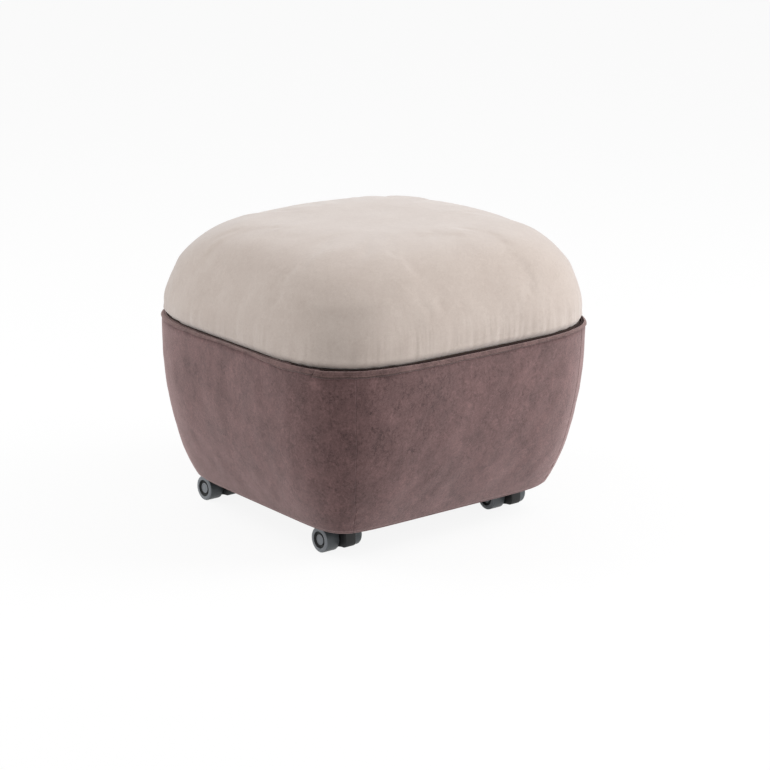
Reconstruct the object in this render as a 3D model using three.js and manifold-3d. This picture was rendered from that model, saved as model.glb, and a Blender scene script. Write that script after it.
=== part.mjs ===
// An upholstered ottoman on four twin-wheel castors, built the way it is upholstered.
// A timber carcase carries webbing and a crowned foam seat under a stretched cream cover.
// Hardboard, padding and four velvet panels wrap the tapering sides, and a folded band closes the top edge.
// Sizes are millimetres and +Z is up. The origin is on the floor under the middle of the seat.
// Front is -Y and left is -X.
import * as THREE from "three";
import { mergeVertices } from "three/addons/utils/BufferGeometryUtils.js";
import Module from "manifold-3d";

const wasm = await Module();
wasm.setup();

// Overall form
const WIDTH = 508;
const DEPTH = 466;
const SEAM_HEIGHT = 281.5; // floor to the line where the seat meets the band
const CROWN_HEIGHT = 134.5; // rise of the seat above that line
const FLOOR_CLEARANCE = 40; // floor to the underside of the velvet
const TAPER = 56.5; // how far each side draws in at the bottom
const EDGE_RADIUS = 5; // bottom edge of the velvet

// Exponents and shares that shape the plan and the profile
const TOP_SQUARENESS = 4.4;
const BOTTOM_SQUARENESS = 8.4;
const CROWN_SQUARENESS = 1.9;
const TAPER_POWER = 2.6;
const CORNER_POWER = 1.5;
const CROWN_SIDE_POWER = 0.31;
const CROWN_TOP_POWER = 0.8;
const CROWN_CORNER_POWER = 5.9;
const TUCK_POWER = 12;
const SEAM_BEARING = THREE.MathUtils.degToRad(49.2); // panel seams, from the left-right axis
const LAP_BEARING = THREE.MathUtils.degToRad(211); // where the band's ends meet
const COLUMNS = 10; // facets across one side
const BODY_HEIGHT_SHARES = [0.09, 0.2, 0.32, 0.46, 0.62, 0.8];
const CROWN_ANGLE_SHARES = [0, 0.025, 0.08, 0.16, 0.27, 0.4, 0.54, 0.68, 0.8, 0.9, 0.96];

// Clearance between pieces that touch
const GAP = 0.3;

// Upholstery
const FABRIC_THICKNESS = 1.5;
const BAND_HEIGHT = 10;
const BAND_THICKNESS = 6.5;
const LAP_FULLNESS = 1.6; // how far the folded end of the band stands proud
const SEAT_INSET = 5.2; // side of the seat behind the widest line of the body
const SKIRT_DROP = 18; // part of the seat cover that is stapled behind the band
const VELVET_TUCK = 18; // part of the velvet that is stapled under the base
const DUST_COVER_THICKNESS = 0.8;
const DUST_COVER_INSET = 10;
const BAND_OUTLINE_SHARES = [
  [-1, 0],
  [-0.1, 0],
  [0, 0.1],
  [-0.05, 0.36],
  [-0.2, 0.6],
  [-0.48, 0.82],
  [-0.8, 0.97],
  [-1, 1],
];

// Carcase
const HARDBOARD_THICKNESS = 3;
const BASE_THICKNESS = 12;
const RAIL_THICKNESS = 18;
const RAIL_WIDTH = 52;
const OPENING_SQUARENESS = 2.2;
const RIB_THICKNESS = 15;
const RIB_DEPTH = 36;
const POST_SIZE = 40;
const POST_ROUNDING = 13;

// Webbing
const STRAP_WIDTH = 50;
const STRAP_THICKNESS = 1.2;
const STRAP_SPACING = 90;
const STRAP_MARGIN = 12; // strap end to the outer edge of the rail
const STRAP_STEPS = 4; // facets between two crossings

// Castors
const WHEEL_RADIUS = 18;
const WHEEL_WIDTH = 21.5;
const WHEEL_SPREAD = 17; // between the two wheels of a castor
const WHEEL_SIDES = 18;
const RIM_WIDTH = 5;
const TREAD_ROUNDING = 1.6;
const RECESS_DEPTH = 3.4;
const RECESS_SLOPE = 0.9;
const HUB_RADIUS = 5.6;
const HUB_DROP = 1;
const HOLLOW_DEPTH = 5; // inner face of a wheel
const WHEEL_WEB = 5.5; // outer face to the end of the axle bore
const AXLE_RADIUS = 2.5;
const AXLE_CHAMFER = 0.5;
const CASTOR_SIDE_INSET = 49; // bottom edge of the body to the stem, from the sides
const CASTOR_END_INSET = 41.5; // the same from the front and the back
const CASTOR_TRAIL = 23; // stem to axle
const HOUSING_RADIUS = 16;
const HOUSING_BEVEL = 1.2;
const HOUSING_FOOT = 9; // floor to the lower end of the stem boss
const BOSS_RADIUS = 8.2;
const STEM_RADIUS = 4;
const STEM_SUNK = 18; // below the collar, in the housing
const STEM_REACH = 31; // above the collar, in the socket
const STEM_CHAMFER = 0.8;
const GROOVE_DEPTH = 0.7;
const GROOVE_WIDTH = 3;
const GROOVE_DROP = 5; // stem end to the groove
const COLLAR_RADIUS = 7.5;
const COLLAR_THICKNESS = 2;
const SOCKET_WALL = 1.3;
const SOCKET_LENGTH = 34;
const SOCKET_BARB = 0.4;
const FLANGE_RADIUS = 11.5;
const FLANGE_THICKNESS = 1.5;
const FLANGE_CLEARANCE = 1;
const TURNED_SIDES = 12;
const CUT_OVERRUN = 1;

// Depths of the layers, measured inwards from the widest form of the body
const paddingInward = FABRIC_THICKNESS + GAP;
const hardboardInward = BAND_THICKNESS + 2 * GAP + FABRIC_THICKNESS;
const carcaseInward = hardboardInward + HARDBOARD_THICKNESS + GAP;

// Heights of the layers
const baseUnderside = FLOOR_CLEARANCE + FABRIC_THICKNESS + GAP;
const baseTop = baseUnderside + BASE_THICKNESS;
const strapRise =
  (STRAP_THICKNESS + GAP) / 2 / Math.cos((Math.PI * STRAP_WIDTH) / 2 / STRAP_SPACING);
const railTop = SEAM_HEIGHT - 2 * GAP - STRAP_THICKNESS - strapRise;
const railUnderside = railTop - RAIL_THICKNESS;
const skirtBottom = SEAM_HEIGHT - SKIRT_DROP;
const bandBottom = SEAM_HEIGHT - BAND_HEIGHT;
const dustCoverUnderside = FLOOR_CLEARANCE - GAP - DUST_COVER_THICKNESS;
const flangeUnderside = baseUnderside - GAP - FLANGE_THICKNESS;
const collarTop = flangeUnderside - GAP;
const collarUnderside = collarTop - COLLAR_THICKNESS;
const housingTop = collarUnderside - GAP;

const SIDES = {
  right: { from: -SEAM_BEARING, to: SEAM_BEARING, reach: "halfWidth" },
  rear: { from: SEAM_BEARING, to: Math.PI - SEAM_BEARING, reach: "halfDepth" },
  left: { from: Math.PI - SEAM_BEARING, to: Math.PI + SEAM_BEARING, reach: "halfWidth" },
  front: { from: Math.PI + SEAM_BEARING, to: 2 * Math.PI - SEAM_BEARING, reach: "halfDepth" },
};
const CORNERS = {
  front_left: { across: -1, along: -1, quarter: 2 },
  front_right: { across: 1, along: -1, quarter: 3 },
  rear_left: { across: -1, along: 1, quarter: 1 },
  rear_right: { across: 1, along: 1, quarter: 0 },
};

// Finishes
const finish = (color, roughness, metalness = 0) =>
  new THREE.MeshStandardMaterial({ color, roughness, metalness });
const cream = finish(0xd6c8be, 0.85);
const velvet = finish(0x7a6362, 0.9);
const foam = finish(0xe8dcae, 0.95);
const padding = finish(0xf0efea, 0.95);
const timber = finish(0xc79f6b, 0.7);
const plywood = finish(0xd2ad7a, 0.7);
const hardboard = finish(0x7c5636, 0.6);
const webbing = finish(0x3f3b38, 0.85);
const dustCloth = finish(0x1d1d1f, 0.95);
const wheelGrey = finish(0x6c7074, 0.5);
const housingBlack = finish(0x252627, 0.45);
const steel = finish(0xb4b7ba, 0.35, 1);

// Triangles, anticlockwise from outside, gathered into one closed geometry
class Facets {
  constructor() {
    this.corners = [];
  }

  patch(...points) {
    for (let i = 1; i + 1 < points.length; i++) {
      this.corners.push(points[0], points[i], points[i + 1]);
    }
  }

  surface(rows) {
    for (let r = 0; r + 1 < rows.length; r++) {
      for (let c = 0; c + 1 < rows[r].length; c++) {
        this.patch(rows[r][c], rows[r][c + 1], rows[r + 1][c + 1], rows[r + 1][c]);
      }
    }
  }

  underSurface(rows) {
    this.surface([...rows].reverse());
  }

  fan(ring, apex) {
    for (let c = 0; c + 1 < ring.length; c++) {
      this.patch(ring[c], ring[c + 1], apex);
    }
  }

  underFan(ring, apex) {
    this.fan([...ring].reverse(), apex);
  }

  geometry() {
    const made = new THREE.BufferGeometry().setFromPoints(this.corners);
    made.computeVertexNormals();
    return made;
  }
}

// A point on a rounded square, where a higher squareness gives tighter corners
function sectionPoint(section, bearing) {
  const across = Math.cos(bearing);
  const along = Math.sin(bearing);
  const power = 2 / section.squareness;
  return new THREE.Vector3(
    section.halfWidth * Math.sign(across) * Math.abs(across) ** power,
    section.halfDepth * Math.sign(along) * Math.abs(along) ** power,
    section.height,
  );
}

// The body at a height: it draws in and grows squarer towards the floor
function bodySection(height, inward) {
  const fall = (SEAM_HEIGHT - height) / (SEAM_HEIGHT - FLOOR_CLEARANCE);
  const drawIn = THREE.MathUtils.clamp(fall, 0, 1) ** TAPER_POWER;
  return {
    halfWidth: WIDTH / 2 - TAPER * drawIn - inward,
    halfDepth: DEPTH / 2 - TAPER * drawIn - inward,
    squareness:
      TOP_SQUARENESS + (BOTTOM_SQUARENESS - TOP_SQUARENESS) * drawIn ** CORNER_POWER,
    height,
  };
}

// The seat at a share of its crown: upright at the seam, where it is tucked in, and flat on top
function crownSection(share, inward) {
  const angle = (share * Math.PI) / 2;
  const spread = Math.cos(angle) ** CROWN_SIDE_POWER;
  const rise = Math.sin(angle) ** CROWN_TOP_POWER;
  const tuck = (BAND_THICKNESS + GAP - SEAT_INSET) * (1 - rise) ** TUCK_POWER;
  return {
    halfWidth: (WIDTH / 2 - SEAT_INSET - inward) * spread - tuck,
    halfDepth: (DEPTH / 2 - SEAT_INSET - inward) * spread - tuck,
    squareness:
      CROWN_SQUARENESS + (TOP_SQUARENESS - CROWN_SQUARENESS) * spread ** CROWN_CORNER_POWER,
    height: SEAM_HEIGHT + (CROWN_HEIGHT - inward) * rise,
  };
}

function sideBearings(side) {
  return Array.from({ length: COLUMNS + 1 }, (_, i) =>
    THREE.MathUtils.lerp(side.from, side.to, i / COLUMNS),
  );
}

// All round, with the first point again at the end
function ringPoints(section) {
  const bearings = Object.values(SIDES).flatMap((side) => sideBearings(side).slice(1));
  return [bearings.at(-1), ...bearings].map((bearing) => sectionPoint(section, bearing));
}

// One side, drawn back a little at each corner so that neighbours stay clear
function sidePoints(section, side) {
  const points = sideBearings(side).map((bearing) => sectionPoint(section, bearing));
  const drawnBack = (end, next) =>
    end.clone().add(next.clone().sub(end).setLength(GAP / 2));
  const last = points.length - 1;
  const ends = [drawnBack(points[0], points[1]), drawnBack(points[last], points[last - 1])];
  return [ends[0], ...points.slice(1, last), ends[1]];
}

// The heights of a layer's rows: its own ends, and those that all layers share between them
function layerHeights(bottom, top) {
  const shared = BODY_HEIGHT_SHARES.map((share) =>
    THREE.MathUtils.lerp(FLOOR_CLEARANCE, SEAM_HEIGHT, share),
  );
  return [bottom, ...shared.filter((height) => height > bottom && height < top), top];
}

// A sheet between matching rows of outer and inner points, closed along its four edges
function sheetGeometry(outer, inner) {
  const facets = new Facets();
  const column = (rows, at) => rows.map((row) => row.at(at));
  facets.surface(outer);
  facets.underSurface(inner);
  facets.surface([inner[0], outer[0]]);
  facets.surface([outer.at(-1), inner.at(-1)]);
  facets.surface([column(outer, 0), column(inner, 0)]);
  facets.surface([column(inner, -1), column(outer, -1)]);
  return facets.geometry();
}

// A solid through closed rings, from the lowest to the highest
function loftGeometry(rings, top) {
  const facets = new Facets();
  const middle = new THREE.Vector3(0, 0, rings[0][0].z);
  facets.surface(rings);
  facets.underFan(rings[0], middle);
  facets.fan(rings.at(-1), top);
  return facets.geometry();
}

// Joining and cutting
function toSolid(geometry) {
  const bare = geometry.clone();
  bare.deleteAttribute("normal");
  bare.deleteAttribute("uv");
  const merged = mergeVertices(bare);
  return new wasm.Manifold(
    new wasm.Mesh({
      numProp: 3,
      vertProperties: merged.attributes.position.array,
      triVerts: merged.index.array,
    }),
  );
}

function toGeometry(solid) {
  const mesh = solid.getMesh();
  const made = new THREE.BufferGeometry();
  made.setAttribute("position", new THREE.BufferAttribute(mesh.vertProperties, 3));
  made.setIndex(new THREE.BufferAttribute(mesh.triVerts, 1));
  made.computeVertexNormals();
  return made;
}

// The corner radius of a many-sided hole that clears a round shaft
function boreRadius(shaftRadius, sides) {
  return (shaftRadius + GAP) / Math.cos(Math.PI / sides);
}

function borer(radius, from, to) {
  const length = to - from;
  return new THREE.CylinderGeometry(radius, radius, length, TURNED_SIDES)
    .rotateX(Math.PI / 2)
    .translate(0, 0, from + length / 2);
}

// Turned on a vertical axis from pairs of radius and height
function turned(profile) {
  const points = profile.map(([radius, height]) => new THREE.Vector2(radius, height));
  return new THREE.LatheGeometry(points, TURNED_SIDES).rotateX(Math.PI / 2);
}

// Where the four stems stand
const bottomSection = bodySection(FLOOR_CLEARANCE, 0);
const stemAcross = bottomSection.halfWidth - CASTOR_SIDE_INSET;
const stemAlong = bottomSection.halfDepth - CASTOR_END_INSET;
const socketRadius = STEM_RADIUS + GAP + SOCKET_WALL;
const socketBore = boreRadius(socketRadius, TURNED_SIDES);

// The seat: foam, and the cream cover with its stapled skirt
function seatFoam() {
  const inward = FABRIC_THICKNESS + GAP;
  const rings = CROWN_ANGLE_SHARES.map((share) => ringPoints(crownSection(share, inward)));
  const top = new THREE.Vector3(0, 0, SEAM_HEIGHT + CROWN_HEIGHT - inward);
  return loftGeometry(rings, top);
}

function coverRows(inward) {
  const crown = CROWN_ANGLE_SHARES.map((share) => crownSection(share, inward));
  const hem = { ...crown[0], height: skirtBottom };
  return [hem, ...crown].map(ringPoints);
}

function seatCover() {
  const facets = new Facets();
  const outer = coverRows(0);
  const inner = coverRows(FABRIC_THICKNESS);
  const top = new THREE.Vector3(0, 0, SEAM_HEIGHT + CROWN_HEIGHT);
  const below = new THREE.Vector3(0, 0, top.z - FABRIC_THICKNESS);
  facets.surface(outer);
  facets.fan(outer.at(-1), top);
  facets.underSurface(inner);
  facets.underFan(inner.at(-1), below);
  facets.surface([inner[0], outer[0]]);
  return facets.geometry();
}

// The band: one folded strip all round, whose covering end stands proud where it laps the other
function bandRing(section) {
  const turn = 2 * Math.PI;
  const bearings = Object.values(SIDES).flatMap((side) => sideBearings(side).slice(1));
  const between = bearings
    .map((bearing) => LAP_BEARING + THREE.MathUtils.euclideanModulo(bearing - LAP_BEARING, turn))
    .sort((a, b) => a - b);
  const points = [LAP_BEARING, ...between, LAP_BEARING + turn].map((bearing) =>
    sectionPoint(section, bearing),
  );
  const last = points.length - 1;
  points[0].add(points[1].clone().sub(points[0]).setLength(GAP / 2));
  points[last].add(points[last - 1].clone().sub(points[last]).setLength(GAP / 2));
  return points;
}

function weltBand() {
  const rows = BAND_OUTLINE_SHARES.map(([outShare, heightShare]) => {
    const inward = -outShare * BAND_THICKNESS;
    const section = bodySection(SEAM_HEIGHT, inward);
    section.height = bandBottom + heightShare * BAND_HEIGHT;
    const points = bandRing(section);
    const fullness = LAP_FULLNESS * (1 + outShare);
    const proud = points[0].clone().setZ(0).setLength(fullness);
    points[0].add(proud);
    return points;
  });
  const facets = new Facets();
  facets.surface([...rows, rows[0]]);
  facets.patch(...rows.map((row) => row[0]));
  facets.patch(...rows.map((row) => row.at(-1)).reverse());
  return facets.geometry();
}

// The sides: hardboard, padding and velvet, each shaped from the same sections
function layerRows(side, bottom, top, inward) {
  return layerHeights(bottom, top).map((height) =>
    sidePoints(bodySection(height, inward), side),
  );
}

function sideLayer(side, bottom, top, inward, thickness) {
  return sheetGeometry(
    layerRows(side, bottom, top, inward),
    layerRows(side, bottom, top, inward + thickness),
  );
}

// The velvet's lower rows: round the bottom edge, then in under the base
function edgeRows(side, depth) {
  const radius = EDGE_RADIUS - depth;
  const section = (inward, height) => {
    const made = bodySection(FLOOR_CLEARANCE, inward);
    made.height = height;
    return sidePoints(made, side);
  };
  const level = FLOOR_CLEARANCE + EDGE_RADIUS;
  const arc = [0.5, 1].map((share) => {
    const angle = (share * Math.PI) / 2;
    return section(EDGE_RADIUS - radius * Math.cos(angle), level - radius * Math.sin(angle));
  });
  return [section(EDGE_RADIUS + VELVET_TUCK, level - radius), ...arc.reverse()];
}

function velvetPanel(side) {
  const bottom = FLOOR_CLEARANCE + EDGE_RADIUS;
  const top = bandBottom - GAP;
  const rows = (depth) => [
    ...edgeRows(side, depth),
    ...layerRows(side, bottom, top, depth),
  ];
  return sheetGeometry(rows(0), rows(FABRIC_THICKNESS));
}

// The carcase
function baseBoard() {
  const rings = [baseUnderside, baseTop].map((height) =>
    ringPoints(bodySection(height, carcaseInward)),
  );
  let board = toSolid(loftGeometry(rings, new THREE.Vector3(0, 0, baseTop)));
  for (const { across, along } of Object.values(CORNERS)) {
    const hole = borer(socketBore, baseUnderside - CUT_OVERRUN, baseTop + CUT_OVERRUN);
    hole.translate(across * stemAcross, along * stemAlong, 0);
    board = board.subtract(toSolid(hole));
  }
  return toGeometry(board);
}

function cornerPost(quarter) {
  const half = POST_SIZE / 2;
  const shape = new THREE.Shape();
  shape.moveTo(-half, -half);
  shape.lineTo(half, -half);
  shape.absarc(half - POST_ROUNDING, half - POST_ROUNDING, POST_ROUNDING, 0, Math.PI / 2, false);
  shape.lineTo(-half, half);
  const foot = baseTop + GAP;
  const depth = railUnderside - GAP - foot;
  const post = new THREE.ExtrudeGeometry(shape, { depth, bevelEnabled: false, curveSegments: 4 });
  post.translate(0, 0, foot).rotateZ((quarter * Math.PI) / 2);
  const socketTop = flangeUnderside + SOCKET_LENGTH;
  const bore = borer(socketBore, foot - CUT_OVERRUN, socketTop + GAP);
  return toGeometry(toSolid(post).subtract(toSolid(bore)));
}

// A rib at the middle of a side, eased by a second gap because the hardboard is faceted
function sideRib(side) {
  const heights = layerHeights(baseTop + GAP, railUnderside - GAP);
  const edge = (inward) =>
    heights.map(
      (height) => new THREE.Vector2(bodySection(height, inward)[side.reach], height),
    );
  const outline = [...edge(carcaseInward + GAP), ...edge(carcaseInward + RIB_DEPTH).reverse()];
  const rib = new THREE.ExtrudeGeometry(new THREE.Shape(outline), {
    depth: RIB_THICKNESS,
    bevelEnabled: false,
  });
  return rib
    .translate(0, 0, -RIB_THICKNESS / 2)
    .rotateX(Math.PI / 2)
    .rotateZ((side.from + side.to) / 2);
}

function topRail(side) {
  const outer = sidePoints(bodySection(railUnderside, carcaseInward), side);
  const opening = bodySection(SEAM_HEIGHT, carcaseInward + RAIL_WIDTH);
  opening.squareness = OPENING_SQUARENESS;
  const outline = [...outer, ...sidePoints(opening, side).reverse()];
  const shape = new THREE.Shape(outline.map((point) => new THREE.Vector2(point.x, point.y)));
  const rail = new THREE.ExtrudeGeometry(shape, { depth: RAIL_THICKNESS, bevelEnabled: false });
  return rail.translate(0, 0, railUnderside);
}

// Webbing: each strap passes over and under the ones it crosses
function strapGeometry(halfLength, overFirst) {
  const end = 1.5 * STRAP_SPACING;
  const step = STRAP_SPACING / STRAP_STEPS;
  const count = Math.round((2 * end) / step);
  const stations = Array.from({ length: count + 1 }, (_, i) => i * step - end);
  const level = railTop + GAP + STRAP_THICKNESS / 2;
  const height = (at) => {
    const wave = Math.abs(at) < end ? Math.cos((Math.PI * at) / STRAP_SPACING) : 0;
    return level + overFirst * strapRise * wave;
  };
  const rows = (offset) =>
    [-STRAP_WIDTH / 2, STRAP_WIDTH / 2].map((across) =>
      [-halfLength, ...stations, halfLength].map(
        (at) => new THREE.Vector3(at, across, height(at) + offset),
      ),
    );
  return sheetGeometry(rows(STRAP_THICKNESS / 2), rows(-STRAP_THICKNESS / 2));
}

// The dust cover under the base, open round each castor flange
function dustCover() {
  const section = bodySection(FLOOR_CLEARANCE, DUST_COVER_INSET);
  const outline = ringPoints(section).slice(1);
  const shape = new THREE.Shape(outline.map((point) => new THREE.Vector2(point.x, point.y)));
  for (const { across, along } of Object.values(CORNERS)) {
    const hole = new THREE.Path();
    const radius = FLANGE_RADIUS + FLANGE_CLEARANCE;
    hole.absarc(across * stemAcross, along * stemAlong, radius, 0, 2 * Math.PI, true);
    shape.holes.push(hole);
  }
  const cloth = new THREE.ExtrudeGeometry(shape, {
    depth: DUST_COVER_THICKNESS,
    bevelEnabled: false,
    curveSegments: 8,
  });
  return cloth.translate(0, 0, dustCoverUnderside);
}

// Castor pieces, with the stem on the group's own axis and the wheels trailing towards +Y
const axleHeight = WHEEL_RADIUS * Math.cos(Math.PI / WHEEL_SIDES);
const wheelFace = WHEEL_SPREAD / 2 + WHEEL_WIDTH;

function castorWheel(facing) {
  const rimInner = WHEEL_RADIUS - RIM_WIDTH;
  const bore = boreRadius(AXLE_RADIUS, WHEEL_SIDES);
  const profile = [
    [0, HUB_DROP],
    [HUB_RADIUS, HUB_DROP],
    [HUB_RADIUS + RECESS_SLOPE, RECESS_DEPTH],
    [rimInner - RECESS_SLOPE, RECESS_DEPTH],
    [rimInner, 0],
    [WHEEL_RADIUS - TREAD_ROUNDING, 0],
    [WHEEL_RADIUS, TREAD_ROUNDING],
    [WHEEL_RADIUS, WHEEL_WIDTH - TREAD_ROUNDING],
    [WHEEL_RADIUS - TREAD_ROUNDING, WHEEL_WIDTH],
    [rimInner, WHEEL_WIDTH],
    [HUB_RADIUS + RECESS_SLOPE, WHEEL_WIDTH - HOLLOW_DEPTH],
    [HUB_RADIUS, WHEEL_WIDTH],
    [bore, WHEEL_WIDTH],
    [bore, WHEEL_WEB],
    [0, WHEEL_WEB],
  ];
  const points = profile.map(([radius, inwards]) => new THREE.Vector2(radius, inwards));
  return new THREE.LatheGeometry(points, WHEEL_SIDES, Math.PI / WHEEL_SIDES)
    .translate(0, -wheelFace, 0)
    .rotateZ((facing * Math.PI) / 2);
}

function castorAxle() {
  const half = wheelFace - WHEEL_WEB - GAP;
  const profile = [
    [0, -half],
    [AXLE_RADIUS - AXLE_CHAMFER, -half],
    [AXLE_RADIUS, AXLE_CHAMFER - half],
    [AXLE_RADIUS, half - AXLE_CHAMFER],
    [AXLE_RADIUS - AXLE_CHAMFER, half],
    [0, half],
  ];
  return turned(profile).rotateY(Math.PI / 2);
}

// The housing: a web between the wheels that sweeps up from the axle to the stem boss
function castorHousing() {
  const thickness = WHEEL_SPREAD - 2 * GAP;
  const bevel = HOUSING_BEVEL;
  const radius = HOUSING_RADIUS - bevel;
  const boss = BOSS_RADIUS - bevel;
  const shape = new THREE.Shape();
  shape.moveTo(-boss, housingTop - bevel);
  shape.lineTo(-boss, HOUSING_FOOT + boss);
  shape.quadraticCurveTo(-boss, HOUSING_FOOT, 0, HOUSING_FOOT);
  shape.quadraticCurveTo(CASTOR_TRAIL / 2, HOUSING_FOOT, CASTOR_TRAIL, axleHeight - radius);
  shape.absarc(CASTOR_TRAIL, axleHeight, radius, -Math.PI / 2, Math.PI / 2, false);
  shape.quadraticCurveTo(boss, axleHeight + radius, boss, housingTop - bevel);
  const web = new THREE.ExtrudeGeometry(shape, {
    depth: thickness - 2 * bevel,
    bevelThickness: bevel,
    bevelSize: bevel,
    bevelSegments: 1,
    curveSegments: 5,
  });
  web.translate(0, 0, bevel - thickness / 2);
  const along = new THREE.Vector3(0, 1, 0);
  const up = new THREE.Vector3(0, 0, 1);
  const across = new THREE.Vector3(1, 0, 0);
  web.applyMatrix4(new THREE.Matrix4().makeBasis(along, up, across));
  const stemHole = borer(
    boreRadius(STEM_RADIUS, TURNED_SIDES),
    collarUnderside - STEM_SUNK - GAP,
    housingTop + CUT_OVERRUN,
  );
  const axleHole = borer(
    boreRadius(AXLE_RADIUS, TURNED_SIDES),
    -thickness / 2 - CUT_OVERRUN,
    thickness / 2 + CUT_OVERRUN,
  );
  axleHole.rotateY(Math.PI / 2).translate(0, CASTOR_TRAIL, axleHeight);
  return toGeometry(toSolid(web).subtract(toSolid(stemHole)).subtract(toSolid(axleHole)));
}

// The stem, with the collar that the housing hangs from and a groove for its grip in the socket
function castorStem() {
  const bottom = collarUnderside - STEM_SUNK;
  const top = collarTop + STEM_REACH;
  const groove = top - GROOVE_DROP;
  return turned([
    [0, bottom],
    [STEM_RADIUS - STEM_CHAMFER, bottom],
    [STEM_RADIUS, bottom + STEM_CHAMFER],
    [STEM_RADIUS, collarUnderside],
    [COLLAR_RADIUS, collarUnderside],
    [COLLAR_RADIUS, collarTop],
    [STEM_RADIUS, collarTop],
    [STEM_RADIUS, groove - GROOVE_WIDTH],
    [STEM_RADIUS - GROOVE_DEPTH, groove - GROOVE_WIDTH + GROOVE_DEPTH],
    [STEM_RADIUS - GROOVE_DEPTH, groove - GROOVE_DEPTH],
    [STEM_RADIUS, groove],
    [STEM_RADIUS, top - STEM_CHAMFER],
    [STEM_RADIUS - STEM_CHAMFER, top],
    [0, top],
  ]);
}

// The socket pressed into the base: a flange, and a sleeve with one barb near its end
function castorSocket() {
  const bore = boreRadius(STEM_RADIUS, TURNED_SIDES);
  const flangeTop = flangeUnderside + FLANGE_THICKNESS;
  const top = flangeUnderside + SOCKET_LENGTH;
  const barb = top - 4 * SOCKET_BARB;
  return turned([
    [bore, flangeUnderside],
    [FLANGE_RADIUS, flangeUnderside],
    [FLANGE_RADIUS, flangeTop],
    [socketRadius - SOCKET_BARB, flangeTop],
    [socketRadius - SOCKET_BARB, barb],
    [socketRadius, barb],
    [socketRadius - SOCKET_BARB, top],
    [bore, top],
    [bore, flangeUnderside],
  ]);
}

// Assembly
const ottoman = new THREE.Group();

function add(name, geometry, material, parent = ottoman) {
  const mesh = new THREE.Mesh(geometry, material.clone());
  mesh.name = name;
  parent.add(mesh);
  return mesh;
}

add("base_board", baseBoard(), plywood);
add("dust_cover", dustCover(), dustCloth);
add("seat_foam", seatFoam(), foam);
add("seat_cover", seatCover(), cream);
add("welt_band", weltBand(), velvet);

for (const [name, side] of Object.entries(SIDES)) {
  const paddingFoot = FLOOR_CLEARANCE + EDGE_RADIUS;
  const paddingThickness = hardboardInward - GAP - paddingInward;
  add(`top_rail_${name}`, topRail(side), plywood);
  add(`side_rib_${name}`, sideRib(side), plywood);
  add(
    `hardboard_${name}`,
    sideLayer(side, baseUnderside, railTop, hardboardInward, HARDBOARD_THICKNESS),
    hardboard,
  );
  add(
    `side_padding_${name}`,
    sideLayer(side, paddingFoot, skirtBottom - GAP, paddingInward, paddingThickness),
    padding,
  );
  add(`velvet_panel_${name}`, velvetPanel(side), velvet);
}

const seatReach = bodySection(railUnderside, carcaseInward + STRAP_MARGIN);
for (const [index, name] of ["a", "b", "c"].entries()) {
  const place = index - 1;
  const over = index % 2 ? 1 : -1;
  const across = add(`strap_across_${name}`, strapGeometry(seatReach.halfWidth, over), webbing);
  across.position.y = place * STRAP_SPACING;
  const along = add(`strap_along_${name}`, strapGeometry(seatReach.halfDepth, -over), webbing);
  along.rotation.z = Math.PI / 2;
  along.position.x = place * STRAP_SPACING;
}

for (const [name, corner] of Object.entries(CORNERS)) {
  const place = new THREE.Group();
  place.position.set(corner.across * stemAcross, corner.along * stemAlong, 0);
  ottoman.add(place);
  add(`corner_post_${name}`, cornerPost(corner.quarter), timber, place);
  add(`castor_socket_${name}`, castorSocket(), steel, place);
  add(`castor_stem_${name}`, castorStem(), steel, place);
  add(`castor_housing_${name}`, castorHousing(), housingBlack, place);

  const hub = new THREE.Group();
  hub.position.set(0, CASTOR_TRAIL, axleHeight);
  place.add(hub);
  add(`castor_axle_${name}`, castorAxle(), steel, hub);
  add(`left_wheel_${name}`, castorWheel(-1), wheelGrey, hub);
  add(`right_wheel_${name}`, castorWheel(1), wheelGrey, hub);
}

export default ottoman;
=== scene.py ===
"""The looks of a castored glider ottoman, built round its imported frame.

The seat, the velvet sides, the band and the castors are modelled here and ride on the frame's
bodies. Lengths are metres, +Z is up, front is -Y and left is -X.
"""

import logging
import math
from dataclasses import dataclass, replace
from enum import Enum
from typing import Callable, Dict, List, Optional, Sequence, Tuple, Union

import bpy
import numpy as np
from mathutils import Matrix, Vector


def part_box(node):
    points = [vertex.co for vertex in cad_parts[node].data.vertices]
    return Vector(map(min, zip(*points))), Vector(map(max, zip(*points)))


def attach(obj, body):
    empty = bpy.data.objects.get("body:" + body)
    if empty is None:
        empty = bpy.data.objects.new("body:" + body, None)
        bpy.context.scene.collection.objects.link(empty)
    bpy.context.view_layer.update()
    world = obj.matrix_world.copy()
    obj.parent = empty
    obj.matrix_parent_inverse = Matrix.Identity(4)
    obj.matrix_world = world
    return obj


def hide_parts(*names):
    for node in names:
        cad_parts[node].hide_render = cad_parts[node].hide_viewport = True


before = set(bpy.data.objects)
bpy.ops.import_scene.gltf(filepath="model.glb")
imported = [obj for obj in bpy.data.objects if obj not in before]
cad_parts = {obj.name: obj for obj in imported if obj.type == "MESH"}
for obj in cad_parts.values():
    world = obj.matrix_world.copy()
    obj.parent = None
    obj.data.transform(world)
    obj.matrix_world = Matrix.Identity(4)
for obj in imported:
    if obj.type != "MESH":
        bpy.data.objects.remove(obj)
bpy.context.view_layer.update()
log = logging.getLogger("ottoman")
MM = 0.001
ROOT = "ottoman"
# The way that points right in the photograph, seen from above
PICTURE_RIGHT = (0.78, -0.63)
# How much of its normal a face has along an axis that it lies flat across
FLAT = 0.99
# Vertices of a turned or wrapped piece that are nearer than this are one
WELD = 0.01 * MM
Pair = Tuple[float, float]
Triple = Tuple[float, float, float]
Colour = Triple
Point = np.ndarray


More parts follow.
